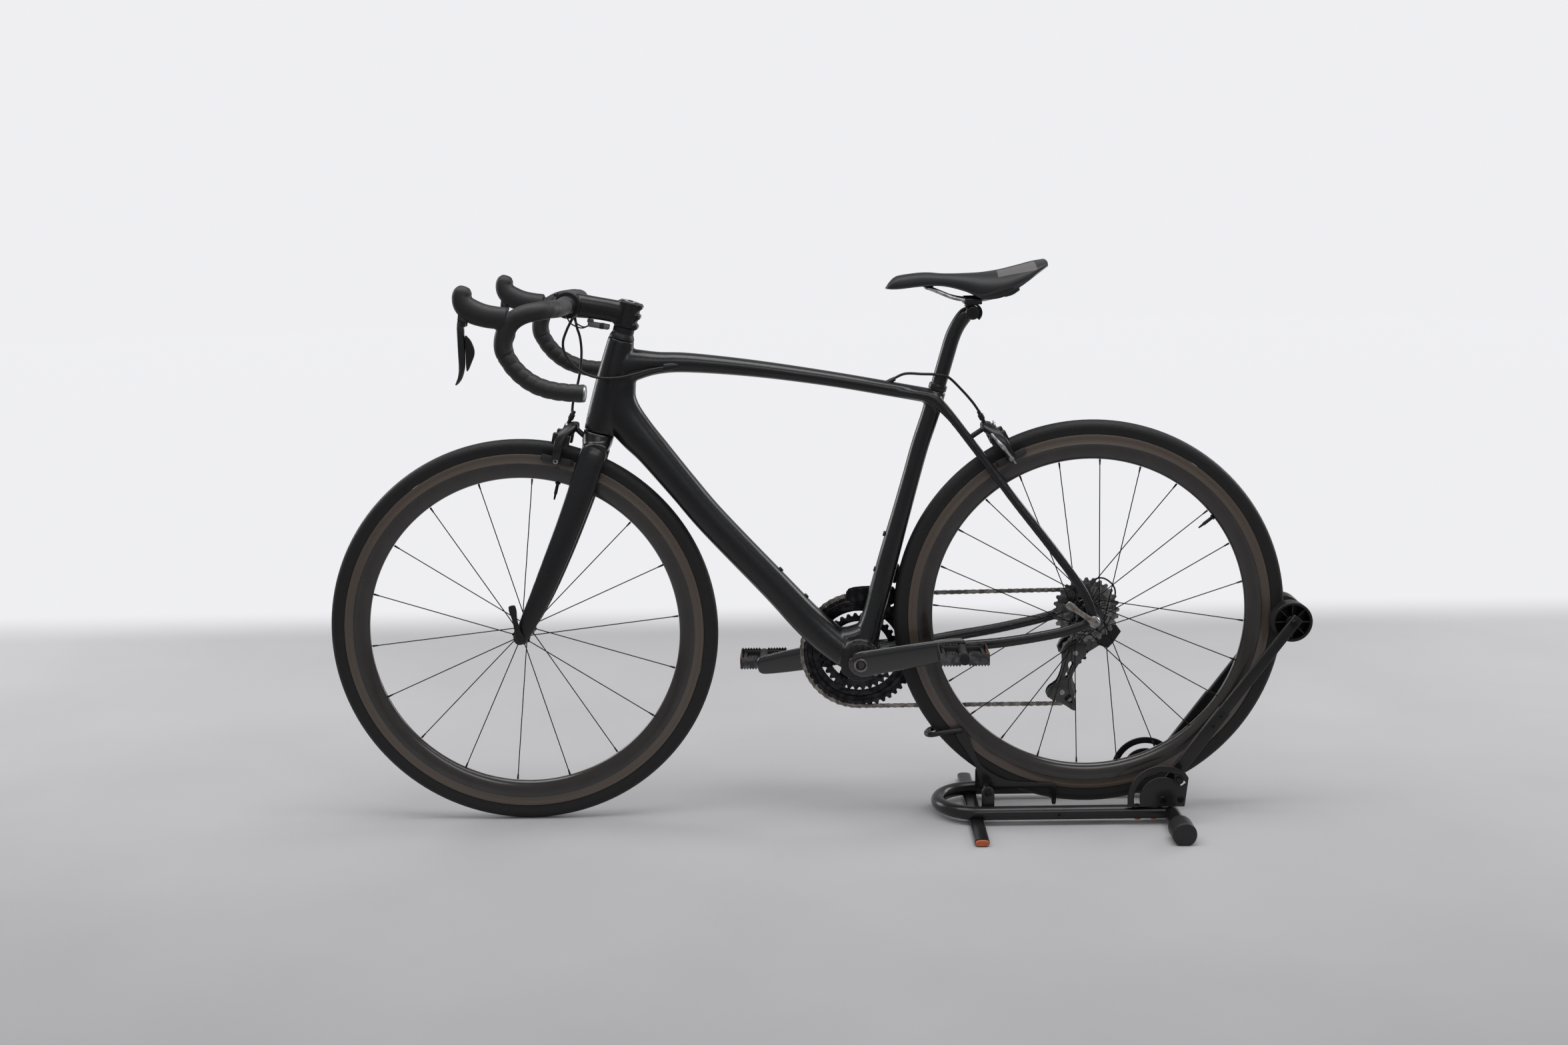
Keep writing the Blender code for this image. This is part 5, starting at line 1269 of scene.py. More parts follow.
# ---- brakes ----
def make_brake(end, body, pivot, elbow, knee, pad, slope, mount, cable_end):
    """A dual-pivot brake: two curved arms with shoes, and the bolt and barrel between them."""
    turn = Matrix.Rotation(slope, 3, "Y")
    for side, letter in SIDES:
        arm = end + "_brake_" + letter
        bm = bmesh.new()
        rows = [(pivot[0], side * 0.006, pivot[1] + 0.001, 0.0065, 0.008),
                (pivot[0] - 0.002, side * 0.015, pivot[1] - 0.001, 0.007, 0.0088),
                (elbow[0], side * 0.029, elbow[1] - 0.002, 0.0074, 0.0092),
                (knee[0], side * 0.034, knee[1], 0.0074, 0.008),
                (pad[0], side * 0.0285, pad[1], 0.0068, 0.0076)]
        add_loft(bm, rows, 24, 3.0, across=(1, 0, 0), steps=6, dome=0.0015)
        lean = math.copysign(0.0015, pivot[0])
        block = Vector((elbow[0] + lean, side * 0.0275, elbow[1] - 0.006))
        add_box(bm, (0.03, 0.012, 0.02), block, turn, 0.0022, 3)
        piece(arm + "_arm_forged", bm, STEM_BLACK, arm,
              [f"{end}_brake_arm_{letter}"], angle=50)
        bm = bmesh.new()
        shoe = Vector((pad[0], side * 0.0216, pad[1]))
        add_box(bm, (0.05, 0.004, 0.012), shoe, turn, 0.0016)
        add_box(bm, (0.056, 0.0052, 0.01), shoe - Vector((0, side * 0.004, 0)), turn, 0.0012)
        piece(arm + "_shoe", bm, PAD_RUBBER, arm)
        bm = bmesh.new()
        add_bolt(bm, (pad[0], side * 0.033, pad[1]), (0, side, 0), 0.0046, 0.004)
        add_bolt(bm, (pivot[0] + math.copysign(0.0094, pivot[0]), side * 0.012, pivot[1] + 0.003),
                 (math.copysign(1, pivot[0]), 0, 0), 0.0044, 0.003)
        if end == "rear":
            add_loft(bm, [(0.3, side * 0.036, 0.673, 0.0022, 0.0022),
                          (0.31, side * 0.0405, 0.661, 0.003, 0.0022),
                          (0.318, side * 0.042, 0.652, 0.004, 0.0024),
                          (0.326, side * 0.0405, 0.643, 0.0024, 0.0022),
                          (0.34, side * 0.037, 0.624, 0.0018, 0.002)], 16, 2.4, dome=0.002)
        piece(arm + "_bolts", bm, SILVER, arm)
    bm = bmesh.new()
    centre = Vector((pivot[0], 0, pivot[1]))
    add_rod(bm, centre, mount, 0.0044, 20)
    lean = Vector((math.copysign(0.46, pivot[0]), 0, -0.89))
    add_rod(bm, along(cable_end, lean, -0.01), along(cable_end, lean, 0.024), 0.0034, 20)
    add_rod(bm, along(cable_end, lean, -0.004), along(cable_end, lean, 0.006), 0.005, 12)
    add_rod(bm, along(cable_end, lean, 0.016), along(cable_end, lean, 0.025), 0.0052, 20)
    piece(end + "_brake_barrel", bm, STEM_BLACK, body)


def make_brakes():
    """Front and rear brakes, each by its (x, z) corners from the pivot down to the pad."""
    make_brake("front", "steering", (-0.408, 0.693), (-0.426, 0.68), (-0.433, 0.656),
               (-0.437, 0.638), math.radians(12.9), Vector((-0.386, 0, 0.671)),
               Vector((-0.412, 0.006, 0.71)))
    make_brake("rear", "frame", (0.296, 0.683), (0.312, 0.67), (0.326, 0.648),
               (0.334, 0.631), -math.radians(26.4), Vector((0.264, 0, 0.662)),
               Vector((0.285, -0.002, 0.7)))


# ---- drive train ----
def sprocket(centre, teeth, root, rise, phase=0.0):
    """A toothed outline: its valleys are root below the pitch line, its tips rise above."""
    valley, tip = pitch_radius(teeth) - root, pitch_radius(teeth) + rise
    corners = ((-0.405, valley), (-0.161, tip), (0.161, tip), (0.405, valley))
    return from_polar(centre, [(radius, FULL_TURN * (k + share + phase) / teeth)
                               for k in range(teeth) for share, radius in corners])


def crank_direction(side):
    """The left crank points back and up, the right crank forward and down."""
    return outward(CRANK_ANGLE) * -side


def make_crank(side, letter):
    """A hollow-forged arm with its pedal axle; the right one carries a four-arm spider."""
    direction = crank_direction(side)
    end = along(BB, direction, CRANK_LENGTH)
    bm = bmesh.new()
    rows = []
    for share, y, high, deep in ((-0.08, 0.055, 0.015, 0.0052), (0.0, 0.0552, 0.0222, 0.0066),
                                 (0.15, 0.0565, 0.022, 0.0066), (0.55, 0.0611, 0.0208, 0.0062),
                                 (0.8, 0.064, 0.019, 0.0058), (1.0, 0.0665, 0.016, 0.0058),
                                 (1.05, 0.0665, 0.0115, 0.0052)):
        spot = along(BB, direction, CRANK_LENGTH * share)
        rows.append((spot.x, side * y, spot.z, high, deep))
    add_loft(bm, rows, 32, 3.2, dome=0.002)
    if side > 0:
        for degrees in SPIDER_DEGREES:
            tip = along(BB, outward(math.radians(degrees)), 0.061)
            middle = (BB + tip) / 2
            add_loft(bm, [(BB.x, 0.0535, BB.z, 0.018, 0.0034),
                          (middle.x, 0.0532, middle.z, 0.012, 0.0036),
                          (tip.x, 0.051, tip.z, 0.009, 0.0026)], 24, 2.6, dome=0.003)
    else:
        add_pin(bm, BB, -0.049, -0.056, 0.0205, 48, edge=0.002)
    name = "crank_forging_" + letter
    piece(name, bm, GLOSS, "crank", ["crank_arm_" + letter], angle=50)
    bm = bmesh.new()
    add_pin(bm, end, side * 0.066, side * 0.078, 0.0068, 24)
    add_pin(bm, end, side * 0.072, side * 0.0765, 0.0082, 6)
    add_pin(bm, end, side * 0.077, side * 0.155, 0.0048, 20)
    piece("pedal_axle_" + letter, bm, CHAIN, "crank")


def make_crank_fittings():
    """Spindle, left preload cap and pinch bolts."""
    bm = bmesh.new()
    add_pin(bm, BB, -0.048, 0.05, 0.012, 32)
    add_lathe(bm, (BB.x, -0.0615, BB.z), [(0.0088, 0), (0.0112, 0), (0.0116, 0.0006), (0.0116, 0.003),
                                          (0.0088, 0.003)], 48, (0, -1, 0), ring=True)
    piece("crank_spindle", bm, CHAIN, "crank")
    bm = bmesh.new()
    add_lathe(bm, (BB.x, -0.0605, BB.z), [(0.0001, 0), (0.009, 0), (0.009, 0.0026), (0.0066, 0.0026),
                                          (0.006, 0.001), (0.0001, 0.001)], 48, (0, -1, 0),
              shape=lambda i, a: 1 - 0.1 * (i == 4) * (math.sin(8 * a) > 0))
    piece("preload_cap", bm, STEM_BLACK, "crank")
    bm = bmesh.new()
    direction = crank_direction(-1)
    down = Vector((direction.z, 0, -direction.x))
    for share in (0.022, 0.034):
        spot = along(along(BB, direction, share), down, 0.0205)
        add_bolt(bm, spot + Vector((0, -0.055, 0)), down, 0.0036, 0.0034, 0.55)
    piece("pinch_bolts", bm, SILVER, "crank")


def make_chain_rings():
    """Large and small toothed rings, with their bolts and a stiffening web."""
    bm = bmesh.new()
    teeth = sprocket(BB, RING_TEETH, 0.0042, 0.0016)
    windows = [arc_points(BB, 0.0715, first + 9, after - 9, 12)
               + arc_points(BB, 0.0625, after - 10, first + 10, 12)
               for first, after in zip(SPIDER_DEGREES, (*SPIDER_DEGREES[1:], 360 + SPIDER_DEGREES[0]))]
    add_plate(bm, teeth, CHAIN_Y - 0.0014, CHAIN_Y + 0.0014,
              [circle_points(BB, 0.0545, 48), *windows], bevel=0.0004, resolution=1)
    add_lathe(bm, (BB.x, CHAIN_Y, BB.z), [(0.083, -0.003), (0.09, -0.003), (0.0915, -0.0012),
                                          (0.0915, 0.0024), (0.0895, 0.0032), (0.0835, 0.0032),
                                          (0.082, 0.0024), (0.082, -0.002)], 96, ring=True)
    inner = sprocket(BB, INNER_TEETH, 0.0042, 0.0008)
    add_plate(bm, inner, 0.0362, 0.0384, [circle_points(BB, 0.0545, 48)], bevel=0.0004,
              resolution=1)
    piece("toothed_rings", bm, RING, "crank", ["chain_rings"])
    bm = bmesh.new()
    for degrees in SPIDER_DEGREES:
        x, _, z = along(BB, outward(math.radians(degrees)), 0.058)
        add_bolt(bm, (x, 0.0352, z), (0, -1, 0), 0.0044, 0.0016, 0.6)
        add_pin(bm, (x, 0, z), 0.0352, 0.0478, 0.004, 20)
        add_bolt(bm, (x, 0.0536, z), (0, 1, 0), 0.0042, 0.0014, 0.6)
    piece("ring_bolts", bm, SPOKE, "crank")


def make_cassette():
    """Eleven toothed cogs on spacers."""
    bm = bmesh.new()
    for k, teeth in enumerate(CASSETTE_TEETH):
        middle = CHAIN_Y + (k - CASSETTE_TEETH.index(COG_TEETH)) * COG_SPACING
        outline = sprocket(REAR_AXLE, teeth, 0.004, 0.0012, k * 0.37)
        inner = pitch_radius(teeth) - 0.0105
        holes = [circle_points(REAR_AXLE, 0.0178, 32)]
        if inner > 0.029:
            for arm in range(6):
                first = 60 * arm + 8 * k
                last = first + 44
                holes.append(arc_points(REAR_AXLE, inner, first, last, 5)
                             + arc_points(REAR_AXLE, 0.023, last, first, 5))
        add_plate(bm, outline, middle - 0.0008, middle + 0.0008, holes, bevel=0.0002,
                  resolution=0)
    low, high = CHAIN_Y - 6 * COG_SPACING, CHAIN_Y + 4 * COG_SPACING
    add_lathe(bm, REAR_AXLE, [(0.012, low), (0.0182, low), (0.0182, high), (0.012, high)], 48,
              ring=True)
    piece("toothed_cogs", bm, COGS, "cassette", ["cassette"], REAR_AXLE)


def tangent_angle(start, start_r, end, end_r, turn):
    """Where a line that touches two circles leaves the first one."""
    reach = end - start
    return math.atan2(reach.z, reach.x) + turn * math.acos((start_r - end_r) / reach.length)


def chain_points():
    """Points every 1.5 mm or so along the chain's pitch line."""
    ring_r, cog_r, pulley_r = (pitch_radius(n) for n in (RING_TEETH, COG_TEETH, PULLEY_TEETH))
    wheels = [(BB, ring_r, 1), (TENSION, pulley_r, 1), (GUIDE, -pulley_r, -1), (REAR_AXLE, cog_r, 1)]
    points = []
    for k, (centre, radius, turn) in enumerate(wheels):
        before, before_r, _ = wheels[k - 1]
        after, after_r, _ = wheels[(k + 1) % len(wheels)]
        arrive = tangent_angle(before, before_r, centre, radius, -1)
        leave = tangent_angle(centre, radius, after, after_r, -1)
        sweep = (leave - arrive) % FULL_TURN if turn > 0 else -((arrive - leave) % FULL_TURN)
        steps = max(6, int(abs(sweep) / math.radians(3)))
        for step in range(steps + 1):
            middle = Vector((centre.x, CHAIN_Y, centre.z))
            points.append(along(middle, outward(arrive + sweep * step / steps), radius))
    return points


def evenly_spaced(points, pitch):
    """Points a pitch apart along a closed line; their number is even."""
    loop = [*points, points[0]]
    lengths = [(b - a).length for a, b in zip(loop, loop[1:])]
    total = sum(lengths)
    count = 2 * round(total / pitch / 2)
    spots = []
    for k in range(count):
        target = total * k / count
        index = 0
        while target > lengths[index]:
            target -= lengths[index]
            index += 1
        spots.append(loop[index].lerp(loop[index + 1], target / lengths[index]))
    return spots


def link_outline(first, second, radius, waist):
    """A link plate around two pins, narrower between them."""
    travel = (second - first).normalized()
    up = Vector((-travel.z, 0, travel.x))
    points = []
    for centre, start in ((second, -60), (first, 120)):
        for k in range(7):
            angle = math.radians(start + 20 * k)
            spot = centre + (travel * math.cos(angle) + up * math.sin(angle)) * radius
            points.append((spot.x, spot.z))
        side = up if start < 0 else -up
        spot = (first + second) / 2 + side * waist
        points.append((spot.x, spot.z))
    return points


def add_flat(bm, outline, low, high):
    """A plain sheet between two y values."""
    near = [bm.verts.new((x, low, z)) for x, z in outline]
    far = [bm.verts.new((x, high, z)) for x, z in outline]
    join_rings(bm, [near, far])


def make_chain():
    """Roller chain: inner and outer plates in turn, with rollers and pin heads."""
    spots = evenly_spaced(chain_points(), PITCH)
    bm = bmesh.new()
    for k, first in enumerate(spots):
        second = spots[(k + 1) % len(spots)]
        offset = 0.0012 if k % 2 else 0.0021
        for side in (-1, 1):
            add_flat(bm, link_outline(first, second, 0.0041, 0.0028), CHAIN_Y + side * offset,
                     CHAIN_Y + side * (offset + 0.0008))
    piece("chain_plates", bm, CHAIN, "frame", ["chain"])
    bm = bmesh.new()
    for spot in spots:
        add_pin(bm, spot, CHAIN_Y - 0.0012, CHAIN_Y + 0.0012, 0.0037, 12)
        add_pin(bm, spot, CHAIN_Y - 0.0031, CHAIN_Y + 0.0031, 0.0016, 8, edge=0.0002)
    piece("chain_rollers", bm, CHAIN, "frame")


def make_pedal(side, letter):
    """A cage pedal: barrel, toothed plates, cross bars and amber reflectors."""
    end = along(BB, crank_direction(side), CRANK_LENGTH)
    centre = Vector((end.x, side * 0.118, end.z))
    body = "pedal_" + letter
    bm = bmesh.new()
    add_lathe(bm, centre, [(0.0053, -0.0355), (0.0095, -0.0355), (0.0105, -0.033), (0.008, -0.02),
                           (0.008, 0.02), (0.0105, 0.033), (0.0095, 0.0355),
                           (0.0053, 0.0355)], 40, ring=True)
    for y in (-0.03, 0.03):
        add_box(bm, (0.07, 0.007, 0.015), centre + Vector((0, y, 0)), None, 0.0022)
    for way in (-1, 1):
        add_box(bm, (0.006, 0.066, 0.011), centre + Vector((way * 0.033, 0, 0)), None, 0.002)
        add_box(bm, (0.018, 0.01, 0.009), centre + Vector((way * 0.02, 0, 0)), None, 0.002)
    add_lathe(bm, centre + Vector((0, side * 0.0355, 0)), [(0.0001, 0), (0.0085, 0), (0.008, 0.0018),
                                                           (0.005, 0.0024),
                                                           (0.0001, 0.0024)], 32, (0, side, 0))
    piece("pedal_body_" + letter, bm, PLASTIC, body, [body])
    bm = bmesh.new()
    for way in (-1, 1):
        for y in (-0.0355, 0.0355):
            plate_y = centre.y + y
            teeth = [(centre.x + way * (0.006 + 0.0025 * k),
                      centre.z + (0.0118 if k % 2 else 0.0088)) for k in range(15)]
            outline = teeth + [(x, 2 * centre.z - z) for x, z in reversed(teeth)]
            add_plate(bm, outline, plate_y - 0.0009, plate_y + 0.0009, bevel=0.0003)
        add_box(bm, (0.0018, 0.072, 0.02), centre + Vector((way * 0.0405, 0, 0)), None, 0.0006)
    piece("pedal_cage_" + letter, bm, CAGE, body)
    bm = bmesh.new()
    for way in ((1,) if side < 0 else (-1, 1)):
        add_box(bm, (0.0036, 0.04, 0.012), centre + Vector((way * 0.0408, 0, 0)), None, 0.001)
    piece("pedal_reflectors_" + letter, bm, REFLECTOR, body)


def make_rear_derailleur():
    """Hanger, links, motor box, the cage plates and the jockey wheels' bolts."""
    motor = [(0.498, 0.282), (0.516, 0.276), (0.525, 0.285), (0.539, 0.306), (0.529, 0.32),
             (0.506, 0.333), (0.486, 0.324)]
    link = [(0.426, 0.28), (0.431, 0.29), (0.438, 0.297), (0.464, 0.304), (0.508, 0.318), (0.51, 0.286),
            (0.478, 0.266), (0.442, 0.264), (0.429, 0.27)]
    bm = bmesh.new()
    add_plate(bm, motor, 0.064, 0.0856, bevel=0.0026, resolution=4)
    add_plate(bm, [(0.464, 0.34), (0.478, 0.34), (0.502, 0.322), (0.494, 0.31),
                   (0.478, 0.318)], 0.065, 0.069, bevel=0.0008)
    piece("derailleur_motor", bm, PLASTIC, "frame", ["derailleur_body"])
    bm = bmesh.new()
    add_plate(bm, link, 0.0665, 0.0795, [circle_points(Vector((0.46, 0, 0.285)), 0.0048, 16)],
              bevel=0.0022, resolution=4)
    add_pin(bm, GUIDE, 0.0562, 0.07, 0.0128, 40, edge=0.0012)
    piece("derailleur_link", bm, GLOSS, "frame")
    bm = bmesh.new()
    for spot in (Vector((0.506, 0.0795, 0.303)), Vector((0.442, 0.079, 0.28)),
                 Vector((0.488, 0.069, 0.324))):
        add_bolt(bm, spot, (0, 1, 0), 0.0046, 0.003)
    piece("derailleur_bolts", bm, SILVER, "frame")
    outline = smooth_closed([(0.434, 0.28), (0.432, 0.25), (0.423, 0.224), (0.408, 0.212),
                             (0.406, 0.196), (0.433, 0.183), (0.454, 0.17), (0.456, 0.186),
                             (0.448, 0.226), (0.464, 0.26), (0.474, 0.272), (0.47, 0.292),
                             (0.452, 0.296)], 3)
    upper = smooth_closed([(0.444, 0.259), (0.44, 0.245), (0.437, 0.232), (0.442, 0.231),
                           (0.447, 0.245), (0.452, 0.257)], 3)
    lower = smooth_closed([(0.436, 0.192), (0.448, 0.183), (0.45, 0.189), (0.446, 0.2),
                           (0.442, 0.199)], 3)
    bm = bmesh.new()
    for low, high in ((0.0524, 0.054), (0.037, 0.0386)):
        add_plate(bm, outline, low, high, [upper, lower], bevel=0.0004)
    piece("derailleur_cage_plates", bm, GLOSS, "frame", ["derailleur_cage"])
    bm = bmesh.new()
    for spot in (GUIDE, TENSION):
        add_pin(bm, spot, 0.0372, 0.0538, 0.003, 16)
        add_bolt(bm, (spot.x, 0.037, spot.z), (0, -1, 0), 0.0046, 0.0018, 0.55)
    piece("jockey_bolts", bm, SILVER, "frame")


def make_jockey_wheels():
    """Two toothed pulleys, each with five round windows."""
    for name, spot in (("jockey_guide", GUIDE), ("jockey_tension", TENSION)):
        bm = bmesh.new()
        middles = [along(spot, outward(FULL_TURN * k / 5), 0.011) for k in range(5)]
        holes = [circle_points(spot, 0.0034, 16), *(circle_points(m, 0.0026, 12) for m in middles)]
        add_plate(bm, sprocket(spot, PULLEY_TEETH, 0.004, 0.001), 0.0443, 0.0467, holes,
                  bevel=0.0003, resolution=1)
        piece(name + "_toothed", bm, PLASTIC, name, [name])


def make_wires():
    """The derailleurs' thin electric leads."""
    bm = bmesh.new()
    loop = [(0.46, 0.06, 0.36), (0.47, 0.074, 0.382), (0.485, 0.079, 0.394), (0.506, 0.08, 0.4),
            (0.524, 0.08, 0.389), (0.53, 0.079, 0.373), (0.525, 0.077, 0.353), (0.516, 0.075, 0.329)]
    add_tube(bm, smooth_rows(loop, 8), 0.0015, 12)
    front = [(0.125, 0.028, 0.408), (0.118, 0.03, 0.396), (0.108, 0.024, 0.39)]
    add_tube(bm, smooth_rows(front, 6), LEAD_R, 10)
    piece("electric_leads", bm, PLASTIC, "frame")


def make_front_derailleur():
    """Motor on the seat tube, and the chain guide's two cheeks."""
    turn = Matrix.Rotation(math.radians(12), 3, "Y")
    bm = bmesh.new()
    add_box(bm, (0.03, 0.021, 0.033), (0.13, 0.039, 0.424), turn, 0.004, 3)
    add_box(bm, (0.012, 0.014, 0.022), (0.118, 0.024, 0.418), turn, 0.0025)
    piece("front_derailleur_motor", bm, PLASTIC, "frame", ["front_derailleur"])
    outline = smooth_closed([(0.056, 0.374), (0.058, 0.393), (0.095, 0.3975), (0.136, 0.3955),
                             (0.142, 0.374), (0.124, 0.364), (0.09, 0.37)], 3)
    bm = bmesh.new()
    add_plate(bm, outline, 0.0516, 0.0528, bevel=0.0003)
    add_plate(bm, outline, 0.0372, 0.0384, bevel=0.0003)
    add_plate(bm, [(0.09, 0.3922), (0.09, 0.3958), (0.13, 0.3948), (0.13, 0.3914)],
              0.0376, 0.0524, bevel=0.0003)
    add_rod(bm, (0.126, 0.04, 0.409), (0.118, 0.045, 0.395), 0.0036, 16)
    piece("chain_guide", bm, RING, "frame", ["front_cage"])


# ---- stand ----
def make_stand_base():
    """The floor frame: bent tube, flat front foot, cross tube and posts."""
    half, z = STAND_TUBE_Y, STAND_TUBE_Z
    bend = [Vector((0.282 - half * math.sin(a), -half * math.cos(a), z))
            for a in (math.pi * k / 40 for k in range(41))]
    path = [Vector((0.604, -half, z)), Vector((0.45, -half, z)), *bend,
            Vector((0.45, half, z)), Vector((0.604, half, z))]
    bm = bmesh.new()
    add_tube(bm, path, STAND_TUBE_R, 32)
    add_pin(bm, (REAR_FOOT_X, 0, 0.0185), -0.149, 0.149, 0.0133, 32)
    for side in (-1, 1):
        post = [(0.281, 0.026), (0.303, 0.026), *arc_points(CRADLE_PIVOT, 0.011, 0, 180, 16)]
        add_plate(bm, post, side * 0.0602, side * 0.0658, bevel=0.001, resolution=3)
        add_lathe(bm, (0.42, side * half, z), [(0.0118, -0.0009), (0.0122, -0.0005), (0.0122, 0.0005),
                                               (0.0118, 0.0009)], 32, (1, 0, 0), ring=True)
    piece("stand_tubes", bm, POWDER, "stand", ["stand_base"])
    bm = bmesh.new()
    add_loft(bm, [(FRONT_FOOT_X, y, 0.0068, 0.0067, 0.0124) for y in (-0.184, -0.08, 0.08, 0.184)],
             40, 3.0, across=(1, 0, 0))
    piece("front_foot_bar", bm, POWDER, "stand")
    bm = bmesh.new()
    for side in (-1, 1):
        add_loft(bm, [(FRONT_FOOT_X, side * y, 0.0064, h, w) for y, h, w in
                      ((0.1838, 0.005, 0.0106), (0.186, 0.0056, 0.0114), (0.188, 0.0046, 0.0104))],
                 32, 3.0, across=(1, 0, 0), steps=3)
        for x in (0.548, 0.576):
            add_rod(bm, (x, side * half, 0.007), (x, side * half, 0.0092), 0.0056, 20)
    piece("orange_plugs", bm, ORANGE, "stand")
    bm = bmesh.new()
    for side in (-1, 1):
        add_bolt(bm, (0.292, side * 0.0658, CRADLE_PIVOT.z), (0, side, 0), 0.0062, 0.0026, 0.5)
        add_bolt(bm, (0.412, side * (half + STAND_TUBE_R - 0.0006), z), (0, side, 0), 0.0028, 0.0012)
    piece("post_bolts", bm, SPOKE, "stand")


def make_stand_feet():
    """Rubber ends with a flat underside and rounded edges."""
    for side, letter in SIDES:
        centre_z, radius = 0.0187, 0.0205
        start = math.degrees(math.asin((centre_z - 0.0003) / radius))
        outline = arc_points(Vector((REAR_FOOT_X, 0, centre_z)), radius, -start, 180 + start, 40)
        bm = bmesh.new()
        add_plate(bm, outline, side * 0.1494, side * 0.1946, bevel=0.003, resolution=5)
        piece("rubber_foot_" + letter, bm, FOOT_RUBBER, "stand",
              ["stand_foot_" + letter])


def make_stand_brackets():
    """Arched plates with the arm's curved slot, bolts and a bottom flange."""
    pivot = ARM_PIVOT
    for side, letter in SIDES:
        arch = arc_points(pivot, 0.0598, 50, 175, 32)
        outline = [(0.6258, 0.0337), (0.6318, 0.084), *arch, (0.5282, 0.0337)]
        slot = arc_points(pivot, 0.0488, 36, 196, 32) + arc_points(pivot, 0.0392, 196, 36, 32)
        bm = bmesh.new()
        add_plate(bm, outline, side * 0.0845, side * 0.0882, [slot], bevel=0.0007)
        add_box(bm, (0.096, 0.009, 0.0028), (0.5775, side * 0.0838, 0.0345), None, 0.0008)
        piece("arched_plate_" + letter, bm, POWDER, "stand",
              ["stand_bracket_" + letter])
        bm = bmesh.new()
        for x, z in ((0.588, 0.046), (0.619, 0.045)):
            add_bolt(bm, (x, side * 0.0882, z), (0, side, 0), 0.0058, 0.002)
        for x in (0.545, 0.595):
            add_bolt(bm, (x, side * 0.0846, 0.0357), (0, 0, 1), 0.004, 0.0018)
        piece("bracket_bolts_" + letter, bm, SPOKE, "stand")


def make_stand_arm():
    """Box-section bars, stub pins, slot pins and the rollers' shaft."""
    reach = ROLLER_AXLE - ARM_PIVOT
    length = reach.length
    direction = reach.normalized()
    turn = Matrix.Rotation(math.atan2(reach.x, reach.z), 3, "Y")
    middle = along(ARM_PIVOT, direction, length / 2)
    pin = along(ARM_PIVOT, direction, 0.044)
    bm = bmesh.new()
    for side in (-1, 1):
        add_box(bm, (0.0186, 0.0094, length + 0.026), (middle.x, side * 0.0535, middle.z), turn,
                0.0022, 3)
        sleeve = along(ARM_PIVOT, direction, 0.085)
        add_box(bm, (0.0218, 0.0098, 0.196), (sleeve.x, side * 0.0535, sleeve.z), turn, 0.0014, 3)
        add_pin(bm, ARM_PIVOT, side * 0.057, side * 0.0836, 0.0048, 20)
        add_pin(bm, pin, side * 0.057, side * 0.0906, 0.004, 20)
    add_pin(bm, ROLLER_AXLE, -0.057, 0.057,
            0.004, 20)
    piece("roller_arm_bars", bm, POWDER, "stand_arm", ["stand_arm"])
    bm = bmesh.new()
    for side in (-1, 1):
        for distance in (0.15, 0.172):
            spot = along(ARM_PIVOT, direction, distance)
            add_pin(bm, spot, side * 0.0576, side * 0.0596, 0.0026, 16)
        add_bolt(bm, (ROLLER_AXLE.x, side * 0.0584, ROLLER_AXLE.z), (0, side, 0), 0.0062, 0.0024)
        add_pin(bm, pin, side * 0.0886, side * 0.09, 0.0088, 32)
        add_bolt(bm, (pin.x, side * 0.09, pin.z), (0, side, 0), 0.0054, 0.001)
    piece("arm_end_bolts", bm, SPOKE, "stand_arm")


def make_rollers():
    """Hollow wheels with a thin ring wall, a hub and radial ribs."""
    for side, letter in SIDES:
        inner, outer = 0.0167, 0.0473
        profile = [(0.0044, inner), (0.03, inner), (0.0328, inner + 0.001),
                   (ROLLER_R - 0.0004, inner + 0.004), (ROLLER_R - 0.0002, outer - 0.003),
                   (ROLLER_R - 0.0002, outer - 0.0008), (ROLLER_R - 0.001, outer), (0.0302, outer),
                   (0.0296, outer - 0.0008), (0.0292, inner + 0.006), (0.011, inner + 0.006),
                   (0.0106, outer - 0.0008), (0.01, outer), (0.005, outer), (0.0044, outer - 0.0008)]
        bm = bmesh.new()
        add_lathe(bm, ROLLER_AXLE, [(r, side * y) for r, y in profile], 72, ring=True)
        for k in range(8):
            angle = FULL_TURN * k / 8
            centre = along(ROLLER_AXLE, outward(angle), 0.02)
            centre.y = side * (inner + outer + 0.001) / 2
            turn = Matrix.Rotation(-angle, 3, "Y")
            add_box(bm, (0.02, outer - inner - 0.006, 0.0022), centre, turn, 0.0004)
        piece("roller_wheel_" + letter, bm, PLASTIC, "rollers",
              ["stand_roller_" + letter])


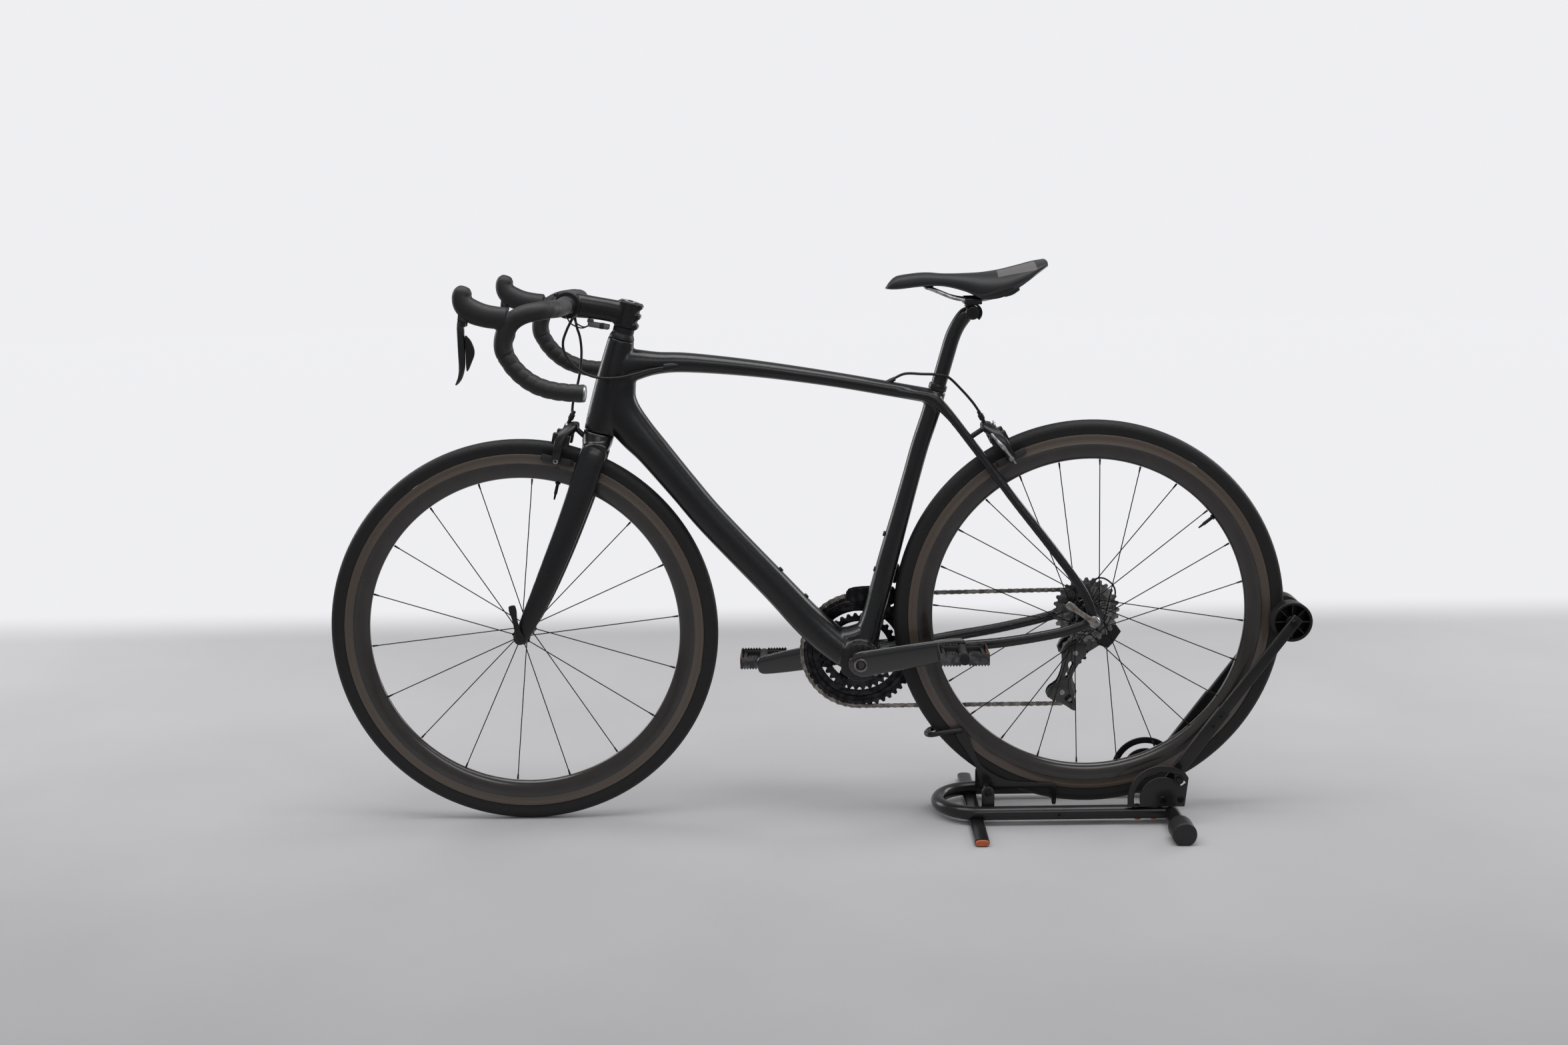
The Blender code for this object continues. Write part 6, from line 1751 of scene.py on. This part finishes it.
def make_cradle():
    """Cheek plates, the rounded hook in front of the tyre and the tilt axle."""
    cheek = smooth_closed([(0.256, 0.1545), (0.245, 0.1545), (0.2405, 0.144), (0.258, 0.116),
                           (0.274, 0.089), (0.281, 0.065), (0.284, 0.046), (0.3, 0.0432),
                           (0.325, 0.045), (0.364, 0.0475), (0.399, 0.048), (0.406, 0.043),
                           (0.4075, 0.02), (0.411, 0.017), (0.4148, 0.02), (0.4162, 0.048),
                           (0.412, 0.0545), (0.402, 0.0558), (0.37, 0.057), (0.34, 0.059),
                           (0.3154, 0.068), (0.288, 0.086), (0.277, 0.104), (0.2668, 0.129)], 3)
    bm = bmesh.new()
    for side in (-1, 1):
        add_plate(bm, cheek, side * 0.0162, side * 0.019, bevel=0.0006)
    half = [(0.25, 0.0195, 0.1535), (0.218, 0.02, 0.15), (0.2, 0.0175, 0.146), (0.193, 0.0095, 0.144)]
    hook = [(x, -y, z) for x, y, z in half] + [(0.1905, 0.0, 0.1435)] + half[::-1]
    add_tube(bm, smooth_rows(hook, 6), 0.0048, 20)
    add_pin(bm, CRADLE_PIVOT, -0.0595, 0.0595, 0.0048, 20)
    piece("cradle_plates", bm, POWDER, "cradle", ["stand_cradle"])


def make_floor():
    """A large round floor, kept out of the object."""
    bm = bmesh.new()
    bmesh.ops.create_circle(bm, cap_ends=True, segments=96, radius=FLOOR_R)
    mesh = bpy.data.meshes.new("floor")
    bm.to_mesh(mesh)
    bm.free()
    mesh.materials.append(floor_material())
    floor = add_object("floor", mesh)


def build():
    add_camera()
    add_lights()
    make_floor()
    make_frame()
    make_frame_fittings()
    make_collar()
    make_seat_post()
    make_saddle()
    make_wheels()
    make_skewers()
    make_fork()
    make_headset()
    make_stem()
    make_bars()
    make_junction()
    make_cables()
    make_brakes()
    for side, letter in SIDES:
        make_hood(side, letter)
        make_lever(side, letter)
        make_crank(side, letter)
        make_pedal(side, letter)
    make_crank_fittings()
    make_chain_rings()
    make_cassette()
    make_chain()
    make_rear_derailleur()
    make_jockey_wheels()
    make_wires()
    make_front_derailleur()
    make_stand_base()
    make_stand_feet()
    make_stand_brackets()
    make_stand_arm()
    make_rollers()
    make_cradle()


build()
